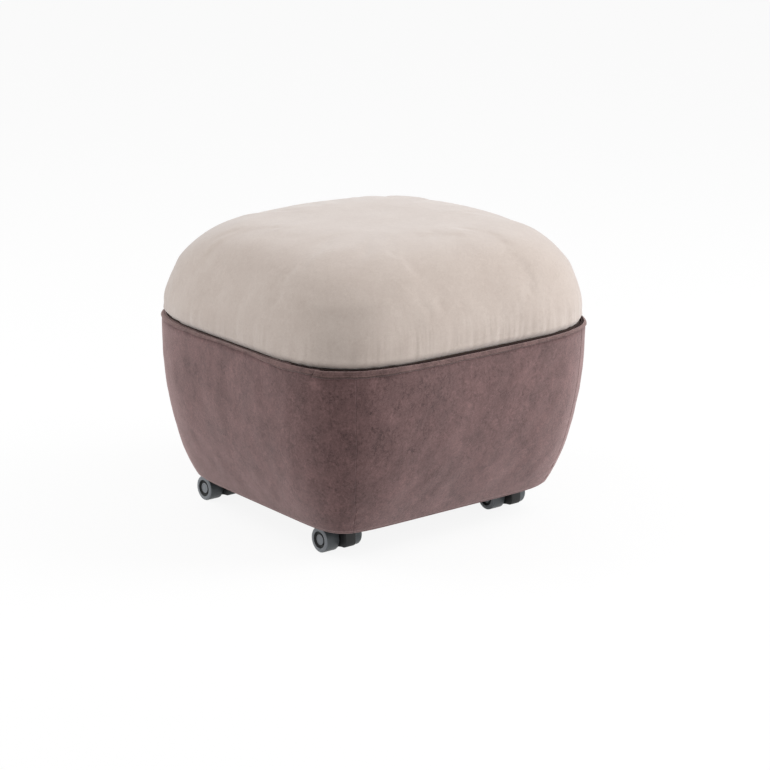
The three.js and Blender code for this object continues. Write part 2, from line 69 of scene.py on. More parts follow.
# Shader arithmetic and node helpers
class Wire:
    """A shader output that takes part in arithmetic: each operator adds one Math node."""

    def __init__(self, tree: bpy.types.NodeTree, socket: bpy.types.NodeSocket) -> None:
        """Wraps one output socket.

        Args:
            tree: The node tree that the socket is in.
            socket: The output to wrap.
        """
        self.tree = tree
        self.socket = socket

    def math(self, operation: str, *values: "Value", clamp: bool = False) -> "Wire":
        """Adds a Math node.

        Args:
            operation: The node's operation.
            *values: Its inputs, wires or numbers.
            clamp: Whether the result is held between 0 and 1.

        Returns:
            The node's result.
        """
        node = self.tree.nodes.new("ShaderNodeMath")
        node.operation = operation
        node.use_clamp = clamp
        for target, value in zip(node.inputs, values):
            plug(self.tree, target, value)
        return Wire(self.tree, node.outputs[0])

    def __add__(self, other: "Value") -> "Wire":
        """Sum."""
        return self.math("ADD", self, other)

    def __sub__(self, other: "Value") -> "Wire":
        """Difference."""
        return self.math("SUBTRACT", self, other)

    def __mul__(self, other: "Value") -> "Wire":
        """Product."""
        return self.math("MULTIPLY", self, other)

    def __truediv__(self, other: "Value") -> "Wire":
        """Quotient."""
        return self.math("DIVIDE", self, other)

    def __rsub__(self, other: "Value") -> "Wire":
        """Reflected difference."""
        return self.math("SUBTRACT", other, self)

    __radd__ = __add__
    __rmul__ = __mul__

    def clamped(self) -> "Wire":
        """The value held between 0 and 1."""
        return self.math("ADD", self, 0.0, clamp=True)

    def centred(self, amount: float = 0.5) -> "Wire":
        """A share between 0 and 1 from noise about 0.

        Args:
            amount: How far a noise of 1 goes from the middle.

        Returns:
            The share.
        """
        return (self * amount + 0.5).clamped()

    def ramp(self, low: float, high: float) -> "Wire":
        """Rises smoothly from 0 at low to 1 at high, or falls where high is the smaller.

        Args:
            low: The value that gives 0.
            high: The value that gives 1.

        Returns:
            The eased share.
        """
        share = ((self - low) / (high - low)).clamped()
        return share * share * (3.0 - 2.0 * share)


Value = Union[Wire, float, int, Sequence[float]]


def plug(tree: bpy.types.NodeTree, target: bpy.types.NodeSocket, value: Value) -> None:
    """Links a wire to a socket, or sets the socket's own value.

    Args:
        tree: The node tree.
        target: The input socket.
        value: A wire, a number or a tuple.
    """
    if isinstance(value, Wire):
        tree.links.new(value.socket, target)
    else:
        target.default_value = value


class Recipe:
    """One material under construction."""

    def __init__(self, name: str) -> None:
        """Starts an empty material with a Principled shader.

        Args:
            name: The material's name.
        """
        self.material = bpy.data.materials.new(name)
        self.material.use_nodes = True
        self.tree = self.material.node_tree
        self.tree.nodes.clear()
        self.shader = self.node("ShaderNodeBsdfPrincipled")
        output = self.node("ShaderNodeOutputMaterial")
        self.tree.links.new(self.shader.outputs[0], output.inputs["Surface"])

    def node(
        self,
        kind: str,
        settings: Optional[Dict[str, object]] = None,
        sockets: Optional[Dict[Union[str, int], Value]] = None,
    ) -> bpy.types.Node:
        """Adds any node.

        Args:
            kind: The node's type.
            settings: Its properties, set before its sockets.
            sockets: Values or wires for its inputs.

        Returns:
            The node.
        """
        made = self.tree.nodes.new(kind)
        for key, value in (settings or {}).items():
            setattr(made, key, value)
        for key, value in (sockets or {}).items():
            plug(self.tree, made.inputs[key], value)
        return made

    def place(self, stretch: Triple = (1.0, 1.0, 1.0), source: str = "Object") -> Wire:
        """Coordinates in metres, scaled along each axis.

        Args:
            stretch: The scale along X, Y and Z.
            source: Object for the piece's own space, or UV for its map.

        Returns:
            The coordinate vector.
        """
        given = Wire(self.tree, self.node("ShaderNodeTexCoord").outputs[source])
        mapping = self.node("ShaderNodeMapping", {}, {"Vector": given, "Scale": stretch})
        return Wire(self.tree, mapping.outputs[0])

    def axis(self, vector: Wire, name: str) -> Wire:
        """One component of a vector.

        Args:
            vector: The vector.
            name: X, Y or Z.

        Returns:
            The component.
        """
        split = self.node("ShaderNodeSeparateXYZ", {}, {0: vector})
        return Wire(self.tree, split.outputs[name])

    def noise(
        self, vector: Wire, size: float, detail: float = 2.0, roughness: float = 0.5, swirl: float = 0.0
    ) -> Wire:
        """Noise about 0, mostly between -1 and 1.

        Args:
            vector: The coordinates.
            size: The width of one blotch, in metres.
            detail: Octaves of finer noise.
            roughness: The weight of each finer octave.
            swirl: How far the pattern is distorted.

        Returns:
            The noise.
        """
        made = self.node(
            "ShaderNodeTexNoise",
            {},
            {
                "Vector": vector,
                "Scale": 1.0 / size,
                "Detail": detail,
                "Roughness": roughness,
                "Distortion": swirl,
            },
        )
        return Wire(self.tree, made.outputs["Fac"]) * 4.0 - 2.0

    def blend(self, share: Value, low: Value, high: Value) -> Wire:
        """Mixes two colours.

        Args:
            share: The factor.
            low: The colour at 0.
            high: The colour at 1.

        Returns:
            The colour.
        """
        made = self.node("ShaderNodeMix", {"data_type": "RGBA"})
        for key, value in (("Factor_Float", share), ("A_Color", low), ("B_Color", high)):
            target = next(socket for socket in made.inputs if socket.identifier == key)
            if isinstance(value, tuple) and len(value) == 3:
                value = (*value, 1.0)
            plug(self.tree, target, value)
        result = next(socket for socket in made.outputs if socket.identifier == "Result_Color")
        return Wire(self.tree, result)

    def bump(self, height: Wire, distance: float, after: Optional[Wire] = None) -> Wire:
        """A bump from a height between 0 and 1.

        Args:
            height: The height.
            distance: How far 1 stands above 0, in metres.
            after: The normal that this bump adds to.

        Returns:
            The normal.
        """
        sockets: Dict[Union[str, int], Value] = {"Height": height, "Distance": distance, "Strength": 1.0}
        if after is not None:
            sockets["Normal"] = after
        return Wire(self.tree, self.node("ShaderNodeBump", {}, sockets).outputs[0])

    def close(self, **sockets: Value) -> bpy.types.Material:
        """Sets the shader's sockets, with _ for the spaces in their names.

        Args:
            **sockets: Values or wires.

        Returns:
            The finished material.
        """
        for key, value in sockets.items():
            if isinstance(value, tuple) and len(value) == 3:
                value = (*value, 1.0)
            plug(self.tree, self.shader.inputs[key.replace("_", " ")], value)
        return self.material


def screen_colour(red: int, green: int, blue: int) -> Colour:
    """Turns a colour as shown on a screen into the linear one that shaders use.

    Args:
        red: 0 to 255.
        green: 0 to 255.
        blue: 0 to 255.

    Returns:
        The linear colour.
    """

    def linear(level: int) -> float:
        """One channel."""
        share = level / 255
        return share / 12.92 if share <= 0.04045 else ((share + 0.055) / 1.055) ** 2.4

    return linear(red), linear(green), linear(blue)


# Finishes
@dataclass(frozen=True)
class Shade:
    """Painted shade for a cloth: below a height, and in the fold and the hem of its own map.

    The dark line stands higher at the front left corner. It is lower, and the fold is paler, on
    the away side, which is towards the rear left corner.
    """

    height: float = 0.0
    depth: float = 0.85
    blur: Pair = (0.8 * MM, -0.4 * MM)
    wander: float = 0.25 * MM
    # The crevice colour and the fold colour are painted shade.
    colour: Colour = (0.015, 0.009, 0.008)
    fold: Pair = (0.0, 0.0)
    fold_blur: float = 1.5 * MM
    hem: float = 0.0
    hem_blur: float = 1.2 * MM
    fold_depth: float = 0.6
    fold_fade: float = 0.3
    hem_fade: float = 0.4
    fold_colour: Colour = (0.012, 0.007, 0.006)
    away: Pair = (60 * MM, 200 * MM)
    away_drop: float = 0.8 * MM
    front: Pair = (-300 * MM, -420 * MM)
    front_rise: float = 1.1 * MM

    def darken(self, make: Recipe, colour: Wire, blotches: Wire) -> Wire:
        """Paints shade into a cloth's colour where it lies in the dark.

        Args:
            make: The material under construction.
            colour: The cloth's colour.
            blotches: The noise that makes the edge of the shade uneven.

        Returns:
            The darkened colour.
        """
        place = make.place()
        across, along = make.axis(place, "X"), make.axis(place, "Y")
        away = (along - across).ramp(*self.away)
        if self.height:
            front = (across + along).ramp(*self.front)
            above = make.axis(place, "Z") - self.height - blotches * self.wander
            above = above - front * self.front_rise + away * self.away_drop
            colour = make.blend(above.ramp(*self.blur) * self.depth, colour, self.colour)
        if self.hem:
            over = make.axis(make.place(source="UV"), "Y")
            inside = over.ramp(self.fold[0], self.fold[0] + self.fold_blur)
            under = over.ramp(self.hem + self.hem_blur, self.hem)
            share = inside * (self.fold_depth - self.fold_fade * away)
            share = share + under * (self.fold_depth - self.hem_fade * away)
            colour = make.blend(share.clamped(), colour, self.fold_colour)
        return colour


@dataclass(frozen=True)
class Pulls:
    """Faint upright ridges, in patches, where a cloth is pulled down behind the band."""

    height: float = 0.0
    foot: float = 0.0
    start: Pair = (-2 * MM, 4 * MM)
    reach: Pair = (75 * MM, 11.25 * MM)
    patch: float = 60 * MM
    patch_edge: Pair = (-0.35, 0.5)
    width: float = 9 * MM
    stretch: float = 0.07

    def relief(self, make: Recipe) -> Wire:
        """The ridges' height, between 0 and 1.

        Args:
            make: The material under construction.

        Returns:
            The height.
        """
        above = make.axis(make.place(), "Z") - self.foot
        near = above.ramp(*self.reach) * above.ramp(*self.start)
        patches = make.noise(make.place(), self.patch, detail=1.0).ramp(*self.patch_edge)
        ridges = make.noise(make.place((1.0, 1.0, self.stretch)), self.width, detail=1.0)
        return (ridges * near * patches).centred()


@dataclass(frozen=True)
class Pile:
    """A brushed pile cloth, such as velvet or microfibre, marked by hands and by its nap.

    The marks go from blotches down to the nap, each with its size and its share.
    """

    name: str
    deep: Colour
    pale: Colour
    sheen: float
    sheen_roughness: float
    sheen_tint: Colour
    roughness: float = 0.9
    gloss: float = 0.15
    blotch: float = 36 * MM
    stroke: float = 9 * MM
    fleck: float = 3.2 * MM
    nap: float = 1.1 * MM
    upright: float = 0.75
    patchiness: float = 0.4
    blotch_share: float = 0.4
    stroke_share: float = 0.45
    fleck_share: float = 0.5
    nap_share: float = 0.3
    nap_height: float = 0.25 * MM
    nap_relief: float = 0.25
    mark_relief: float = 0.15
    shade: Shade = Shade()
    pulls: Pulls = Pulls()

    def material(self) -> bpy.types.Material:
        """Builds the cloth.

        Returns:
            The material.
        """
        make = Recipe(self.name)
        upright = (1.0, 1.0, self.upright)
        blotches = make.noise(make.place(upright), self.blotch, detail=2.0, roughness=0.55)
        drift = make.noise(make.place(), self.stroke * 2, detail=1.0)
        strokes = make.noise(make.place(upright), self.stroke, detail=3.0, roughness=0.6, swirl=1.2)
        flecks = make.noise(make.place(), self.fleck, detail=2.0, roughness=0.6, swirl=0.5)
        fibres = make.noise(make.place(), self.nap, detail=2.0, roughness=0.7)
        patchy = (1.0 - self.patchiness) + self.patchiness * drift.ramp(-0.5, 0.5)
        tone = blotches * self.blotch_share + strokes * patchy * self.stroke_share
        tone = tone + flecks * patchy * self.fleck_share + fibres * self.nap_share
        colour = make.blend(tone.centred(), self.deep, self.pale)
        # Painted shade of the crevice and the fold
        colour = self.shade.darken(make, colour, blotches)
        height = fibres * self.nap_relief + (flecks + strokes) * self.mark_relief
        normal = make.bump(height.centred(1.0), self.nap_height)
        if self.pulls.height:
            normal = make.bump(self.pulls.relief(make), self.pulls.height, normal)
        return make.close(
            Base_Color=colour,
            Roughness=self.roughness,
            Specular_IOR_Level=self.gloss,
            Sheen_Weight=self.sheen,
            Sheen_Roughness=self.sheen_roughness,
            Sheen_Tint=self.sheen_tint,
            Normal=normal,
        )


@dataclass(frozen=True)
class Moulded:
    """A moulded plastic with a fine spark grain, dusty in its low parts."""

    name: str
    colour: Colour
    worn: Colour
    roughness: float
    grain: float = 0.35 * MM
    grain_height: float = 0.03 * MM
    grain_dulling: float = 0.05
    scuff: float = 5 * MM
    scuff_edge: Pair = (0.35, 1.1)
    scuff_share: float = 0.6
    dust: float = 9 * MM
    dust_top: float = 22 * MM
    dust_share: float = 0.5
    dust_base: float = 0.2
    wear: float = 0.6
    wear_dulling: float = 0.2

    def material(self) -> bpy.types.Material:
        """Builds the plastic.

        Returns:
            The material.
        """
        make = Recipe(self.name)
        grain = make.noise(make.place(), self.grain, detail=2.0, roughness=0.6)
        scuffs = make.noise(make.place((1.0, 1.0, 3.0)), self.scuff, detail=4.0, roughness=0.7)
        dust = make.noise(make.place(), self.dust, detail=3.0, roughness=0.6)
        dust = (dust * 0.5 + self.dust_base).clamped()
        low = make.axis(make.place(), "Z").ramp(self.dust_top, 0.0)
        worn = scuffs.ramp(*self.scuff_edge) * self.scuff_share
        worn = (worn + dust * low * self.dust_share).clamped()
        roughness = self.roughness + grain * self.grain_dulling + worn * self.wear_dulling
        return make.close(
            Base_Color=make.blend(worn * self.wear, self.colour, self.worn),
            Roughness=roughness.clamped(),
            Specular_IOR_Level=0.4,
            Normal=make.bump(grain.centred(), self.grain_height),
        )


@dataclass(frozen=True)
class Plated:
    """Zinc-plated steel with a faint drawn grain and dull patches."""

    name: str
    colour: Colour
    dull: Colour
    roughness: float = 0.3
    drawn: float = 0.5 * MM
    drawn_stretch: float = 0.06
    drawn_dulling: float = 0.05
    drawn_height: float = 0.01 * MM
    patch: float = 6 * MM
    patch_edge: Pair = (-0.4, 0.9)
    patch_share: float = 0.7
    patch_dulling: float = 0.18

    def material(self) -> bpy.types.Material:
        """Builds the metal.

        Returns:
            The material.
        """
        make = Recipe(self.name)
        stretch = (1.0, 1.0, self.drawn_stretch)
        drawn = make.noise(make.place(stretch), self.drawn, detail=3.0, roughness=0.6)
        patches = make.noise(make.place(), self.patch, detail=4.0, roughness=0.65)
        patches = patches.ramp(*self.patch_edge)
        roughness = self.roughness + drawn * self.drawn_dulling + patches * self.patch_dulling
        return make.close(
            Base_Color=make.blend(patches * self.patch_share, self.colour, self.dull),
            Metallic=1.0,
            Roughness=roughness.clamped(),
            Normal=make.bump(drawn.centred(), self.drawn_height),
        )


@dataclass(frozen=True)
class Timber:
    """Sawn wood or board: growth rings that run along one axis, with pores between them."""

    name: str
    early: Colour
    late: Colour
    along: Triple
    ring: float
    ring_share: float = 0.35
    ring_relief: float = 0.15
    bend: float = 45 * MM
    bend_share: float = 0.4
    pore: float = 0.9 * MM
    pore_share: float = 0.18
    pore_relief: float = 0.35
    pore_depth: float = 0.15 * MM
    pore_dulling: float = 0.08
    roughness: float = 0.72

    def material(self) -> bpy.types.Material:
        """Builds the wood.

        Returns:
            The material.
        """
        make = Recipe(self.name)
        grain = make.place(self.along)
        bend = make.noise(grain, self.bend)
        rings = make.noise(grain, self.ring, detail=3.0, roughness=0.55) + bend * self.bend_share
        pores = make.noise(grain, self.pore, detail=2.0, roughness=0.7)
        share = rings * self.ring_share + pores * self.pore_share
        relief = pores * self.pore_relief + rings * self.ring_relief
        return make.close(
            Base_Color=make.blend(share.centred(1.0), self.late, self.early),
            Roughness=(self.roughness + pores * self.pore_dulling).clamped(),
            Specular_IOR_Level=0.3,
            Normal=make.bump(relief.centred(1.0), self.pore_depth),
        )


@dataclass(frozen=True)
class Plain:
    """A plain cloth or filling, from woven webbing to wadding: threads one way, threads the other."""

    name: str
    dark: Colour
    light: Colour
    thread: float
    weave: float
    fuzz: float
    depth: float
    fuzz_share: float = 0.3
    roughness: float = 0.92
    gloss: float = 0.12
    sheen: float = 0.2

    def material(self) -> bpy.types.Material:
        """Builds the cloth.

        Returns:
            The material.
        """
        make = Recipe(self.name)
        place = make.place()
        across = make.axis(place, "X") * (math.pi / self.thread)
        along = make.axis(place, "Y") * (math.pi / self.thread)
        woven = (across.math("SINE", across) * along.math("SINE", along)).centred()
        fuzz = make.noise(place, self.fuzz, detail=4.0, roughness=0.65)
        share = woven * self.weave + (1.0 - self.weave) * 0.5 + fuzz * self.fuzz_share
        share = share.clamped()
        return make.close(
            Base_Color=make.blend(share, self.dark, self.light),
            Roughness=self.roughness,
            Specular_IOR_Level=self.gloss,
            Sheen_Weight=self.sheen,
            Sheen_Roughness=0.5,
            Normal=make.bump(share, self.depth),
        )


# Forms
class Side(Enum):
    """The four sides of the body, by the quarter turn of their middle from the right."""

    RIGHT = 0
    REAR = 1
    LEFT = 2
    FRONT = 3

    @property
    def word(self) -> str:
        """The side's name in the frame."""
        return self.name.lower()


@dataclass(frozen=True)
class Section:
    """A rounded rectangle, where a higher squareness gives tighter corners."""

    half_width: float
    half_depth: float
    squareness: float
    height: float

    def angle(self, bearing: float) -> float:
        """The plain angle from the middle to the point at a bearing.

        Args:
            bearing: The bearing that the frame's own sections use, in radians.

        Returns:
            The angle, in radians.
        """
        power = 2 / self.squareness
        across, along = math.cos(bearing), math.sin(bearing)
        x = self.half_width * math.copysign(abs(across) ** power, across)
        y = self.half_depth * math.copysign(abs(along) ** power, along)
        turns = round((bearing - math.atan2(y, x)) / (2 * math.pi))
        return math.atan2(y, x) + turns * 2 * math.pi

    def walk(self, start: float, end: float, shares: np.ndarray) -> Point:
        """Points along the outline, at shares of the length between two angles.

        Args:
            start: The first angle, in radians.
            end: The last angle.
            shares: Where the points are, from 0 to 1, or past either end.

        Returns:
            One row of three coordinates for each share.
        """
        reach = end - start
        overrun, samples = 0.1 * reach, 2401
        theta = np.linspace(start - overrun, end + overrun, samples)
        cos, sin = np.cos(theta), np.sin(theta)
        power = self.squareness
        radius = (
            np.abs(cos / self.half_width) ** power + np.abs(sin / self.half_depth) ** power
        ) ** (-1 / power)
        x, y = radius * cos, radius * sin
        length = np.concatenate([[0], np.cumsum(np.hypot(np.diff(x), np.diff(y)))])
        first, last = np.interp([start, end], theta, length)
        at = first + shares * (last - first)
        return np.stack(
            [np.interp(at, length, x), np.interp(at, length, y), np.full(len(shares), self.height)], 1
        )


@dataclass(frozen=True)
class Form:
    """The sections of the body and the seat, the same that the frame was made with."""

    half_width: float
    half_depth: float
    seam: float
    foot: float
    crown: float
    taper: float = 56.5 * MM
    edge: float = 5 * MM
    top_squareness: float = 4.4
    bottom_squareness: float = 8.4
    crown_squareness: float = 1.9
    taper_power: float = 2.6
    corner_power: float = 1.5
    crown_side_power: float = 0.31
    crown_top_power: float = 0.8
    crown_corner_power: float = 5.9
    tuck_power: float = 12.0
    band_height: float = 10 * MM
    band_thickness: float = 6.5 * MM
    seat_inset: float = 5.2 * MM
    gap: float = 0.3 * MM
    tip: float = 0.02 * MM
    seam_bearing: float = math.radians(54.8)
    seam_drift: float = math.radians(5.8)
    lap_bearing: float = math.radians(211)

    @classmethod
    def of_frame(cls) -> "Form":
        """Takes the overall sizes from the frame's nodes."""
        band_low, band_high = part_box("welt_band")
        _, cover_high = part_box("seat_cover")
        velvet_low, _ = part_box("velvet_panel_front")
        return cls(
            half_width=(band_high.x - band_low.x) / 2,
            half_depth=(band_high.y - band_low.y) / 2,
            seam=band_high.z,
            foot=velvet_low.z,
            crown=cover_high.z - band_high.z,
            band_height=band_high.z - band_low.z,
        )

    def body(self, height: float, inward: float = 0.0) -> Section:
        """The body's section.

        Args:
            height: Above the floor.
            inward: How far inside the widest form.

        Returns:
            The section.
        """
        fall = min(max((self.seam - height) / (self.seam - self.foot), 0.0), 1.0)
        draw = fall**self.taper_power
        spread = self.bottom_squareness - self.top_squareness
        return Section(
            self.half_width - self.taper * draw - inward,
            self.half_depth - self.taper * draw - inward,
            self.top_squareness + spread * draw**self.corner_power,
            height,
        )

    def seat(self, share: float, inward: float = 0.0) -> Section:
        """The seat's section.

        Args:
            share: From 0 at the seam to 1 at the top.
            inward: How far inside the cover's outer face.

        Returns:
            The section.
        """
        angle = share * math.pi / 2
        spread = math.cos(angle) ** self.crown_side_power
        rise = math.sin(angle) ** self.crown_top_power
        tuck = (self.band_thickness + self.gap - self.seat_inset) * (1 - rise) ** self.tuck_power
        corner = spread**self.crown_corner_power
        return Section(
            max((self.half_width - self.seat_inset - inward) * spread - tuck, self.tip),
            max((self.half_depth - self.seat_inset - inward) * spread - tuck, self.tip),
            self.crown_squareness + (self.top_squareness - self.crown_squareness) * corner,
            self.seam + (self.crown - inward) * rise,
        )

    def seat_shares(self, count: int) -> np.ndarray:
        """Shares that stand evenly along the seat's outline, from the seam to the top.

        Args:
            count: How many.

        Returns:
            The shares.
        """
        even = np.linspace(0, 1, 300)
        steep = np.arccos(even ** (1 / self.crown_side_power)) * 2 / math.pi
        shares = np.unique(np.concatenate([even, steep]))
        sections = [self.seat(share) for share in shares]
        wide = np.array([section.half_width for section in sections])
        high = np.array([section.height for section in sections])
        length = np.concatenate([[0], np.cumsum(np.hypot(np.diff(wide), np.diff(high)))])
        return np.interp(np.linspace(0, length[-1], count), length, shares)

    def seam_angles(self, section: Section, side: Side) -> Pair:
        """Where a side's two corner seams cross a section.

        Args:
            section: The section.
            side: The side.

        Returns:
            The first and the last angle, going round to the left.
        """
        fall = min(max((self.seam - section.height) / (self.seam - self.foot), 0.0), 1.0)
        bearing = self.seam_bearing + self.seam_drift * fall**self.taper_power
        ends = {
            Side.RIGHT: (-bearing, bearing),
            Side.REAR: (bearing, math.pi - bearing),
            Side.LEFT: (math.pi - bearing, math.pi + bearing),
            Side.FRONT: (math.pi + bearing, 2 * math.pi - bearing),
        }[side]
        first = section.angle(ends[0])
        last = section.angle(ends[1])
        return first, last if last > first else last + 2 * math.pi


# Mesh helpers
def waves(points: Point, length: float, seed: int, count: int = 7) -> np.ndarray:
    """Smooth unevenness that is the same on every run.

    Args:
        points: Where it is wanted, one row for each point.
        length: The usual distance between two crests.
        seed: Which of many patterns.
        count: How many plane waves are summed.

    Returns:
        A value for each point, mostly between -1 and 1.
    """
    pick = np.random.default_rng(seed)
    total = np.zeros(len(points))
    for _ in range(count):
        way = pick.normal(size=points.shape[1])
        way *= 2 * math.pi / length * pick.uniform(0.7, 1.4) / np.linalg.norm(way)
        total += np.sin(points @ way + pick.uniform(0, 2 * math.pi))
    return total / math.sqrt(count)


def eased(value: np.ndarray, low: float, high: float) -> np.ndarray:
    """Rises smoothly from 0 at low to 1 at high, or falls where high is the smaller."""
    share = np.clip((value - low) / (high - low), 0, 1)
    return share * share * (3 - 2 * share)


def select_only(*pieces: bpy.types.Object) -> None:
    """Selects these objects alone, or none, and makes the first of them active."""
    for other in bpy.context.selected_objects:
        other.select_set(False)
    for piece in pieces:
        piece.select_set(True)
    if pieces:
        bpy.context.view_layer.objects.active = pieces[0]


def named(name: str) -> bpy.types.Object:
    """Names the primitive that was just added and its mesh.

    Args:
        name: The piece's name.

    Returns:
        The piece.
    """
    piece = bpy.context.object
    piece.name = name
    piece.data.name = name
    return piece


def coordinates(piece: bpy.types.Object) -> Point:
    """The vertices of a piece, one row each."""
    held = np.empty(len(piece.data.vertices) * 3)
    piece.data.vertices.foreach_get("co", held)
    return held.reshape(-1, 3)


def move_to(piece: bpy.types.Object, points: Point) -> None:
    """Puts the vertices of a piece at new places.

    Args:
        piece: The piece.
        points: One row for each vertex.
    """
    piece.data.vertices.foreach_set("co", np.ascontiguousarray(points).ravel())
    piece.data.update()


def settle(piece: bpy.types.Object) -> None:
    """Applies a piece's place, turn and size to its mesh."""
    select_only(piece)
    bpy.ops.object.transform_apply(location=True, rotation=True, scale=True)


def modify(piece: bpy.types.Object, kind: str, **settings: object) -> None:
    """Adds a modifier and applies it.

    Args:
        piece: The piece.
        kind: The modifier's type.
        **settings: Its properties.
    """
    select_only(piece)
    added = piece.modifiers.new(kind.title(), kind)
    for key, value in settings.items():
        setattr(added, key, value)
    bpy.ops.object.modifier_apply(modifier=added.name)


def round_edges(piece: bpy.types.Object, width: float, segments: int, angle: float = 30.0) -> None:
    """Rounds the edges of a piece that are sharper than an angle.

    Args:
        piece: The piece.
        width: The width of the rounding.
        segments: How many faces go round it.
        angle: The angle, in degrees.
    """
    limit = math.radians(angle)
    modify(piece, "BEVEL", width=width, segments=segments, limit_method="ANGLE", angle_limit=limit)


def smooth(piece: bpy.types.Object, angle: float = 35.0) -> None:
    """Shades a piece smooth, except across edges sharper than an angle in degrees."""
    select_only(piece)
    bpy.ops.object.shade_smooth_by_angle(angle=math.radians(angle))


def face_out(piece: bpy.types.Object, merge: float = 0.0) -> None:
    """Merges doubled vertices and turns all faces outwards.

    Args:
        piece: The piece.
        merge: The distance under which vertices are merged, or 0 to merge none.
    """
    select_only(piece)
    bpy.ops.object.mode_set(mode="EDIT")
    bpy.ops.mesh.select_all(action="SELECT")
    if merge:
        bpy.ops.mesh.remove_doubles(threshold=merge)
    bpy.ops.mesh.normals_make_consistent(inside=False)
    bpy.ops.object.mode_set(mode="OBJECT")


def pick_faces(piece: bpy.types.Object, wanted: Callable[[bpy.types.MeshPolygon], bool]) -> None:
    """Selects the faces that a test picks, and enters edit mode on them.

    Args:
        piece: The piece.
        wanted: The test.
    """
    select_only(piece)
    bpy.ops.object.mode_set(mode="EDIT")
    bpy.ops.mesh.select_mode(type="FACE")
    bpy.ops.mesh.select_all(action="DESELECT")
    bpy.ops.object.mode_set(mode="OBJECT")
    for face in piece.data.polygons:
        face.select = wanted(face)
    bpy.ops.object.mode_set(mode="EDIT")


def laid_grid(name: str, points: Point, lengths: Tuple[np.ndarray, np.ndarray]) -> bpy.types.Object:
    """A grid primitive laid over rows of points, with its UV map in metres.

    Args:
        name: The piece's name.
        points: Rows, columns and three coordinates. Outside is to the right of a row.
        lengths: The map's U for each column and V for each row.

    Returns:
        The piece.
    """
    rows, columns = points.shape[:2]
    select_only()
    bpy.ops.mesh.primitive_grid_add(x_subdivisions=columns - 1, y_subdivisions=rows - 1, size=2.0)
    piece = named(name)
    flat = coordinates(piece)
    column = np.rint((flat[:, 0] + 1) / 2 * (columns - 1)).astype(int)
    row = np.rint((flat[:, 1] + 1) / 2 * (rows - 1)).astype(int)
    move_to(piece, points[row, column])
    corner = np.empty(len(piece.data.loops), int)
    piece.data.loops.foreach_get("vertex_index", corner)
    mapped = np.stack([lengths[0][column[corner]], lengths[1][row[corner]]], 1)
    piece.data.uv_layers.active.data.foreach_set("uv", mapped.ravel())
    return piece


def laid_outline(name: str, points: Sequence[Triple], fill: str) -> bpy.types.Object:
    """A circle primitive laid over a closed outline.

    Args:
        name: The piece's name.
        points: The outline's points, in order.
        fill: NGON for a face inside it, or NOTHING.

    Returns:
        The piece.
    """
    select_only()
    bpy.ops.mesh.primitive_circle_add(vertices=len(points), radius=1.0, fill_type=fill)
    piece = named(name)
    held = coordinates(piece)
    order = np.argsort(np.arctan2(held[:, 1], held[:, 0]) % (2 * math.pi))
    placed = np.zeros((len(points), 3))
    placed[order] = points
    move_to(piece, placed)
    return piece


def centre_of(node: str) -> Vector:
    """The middle of the box of one of the frame's nodes."""
    low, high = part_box(node)
    return (low + high) / 2


def run_length(points: Point) -> float:
    """The length of a line through points, one row each."""
    return float(np.linalg.norm(np.diff(points, axis=0), axis=1).sum())


def hump(value: np.ndarray, centre: float, reach: float) -> np.ndarray:
    """A bell curve that is 1 at its centre."""
    return np.exp(-(((value - centre) / reach) ** 2))


def outward(points: Point) -> Point:
    """The outward normals of rows of points.

    Args:
        points: Rows, columns and three coordinates.

    Returns:
        The same shape, each of length 1.
    """
    along = np.gradient(points, axis=1)
    up = np.gradient(points, axis=0)
    normal = np.cross(along, up)
    return normal / np.maximum(np.linalg.norm(normal, axis=2, keepdims=True), 1e-12)


def crowded(length: float, pitch: float, edge: float, steps: int) -> np.ndarray:
    """Shares of a length, close together near both ends.

    Args:
        length: The whole length.
        pitch: The step in the middle.
        edge: The length at each end that has closer steps.
        steps: How many steps each end has.

    Returns:
        The shares, from 0 to 1.
    """
    near = np.linspace(0, edge, steps, endpoint=False)
    middle = np.linspace(edge, length - edge, max(int((length - 2 * edge) / pitch), 2))
    return np.concatenate([near, middle, length - near[::-1]]) / length


def dress(piece: bpy.types.Object, material: bpy.types.Material, body: str) -> None:
    """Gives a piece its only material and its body.

    Args:
        piece: The piece.
        material: Its finish.
        body: The frame's body that it rides on.
    """
    piece.data.materials.clear()
    piece.data.materials.append(material)
    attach(piece, body)
    log.info("%s: %d faces", piece.name, len(piece.data.polygons))


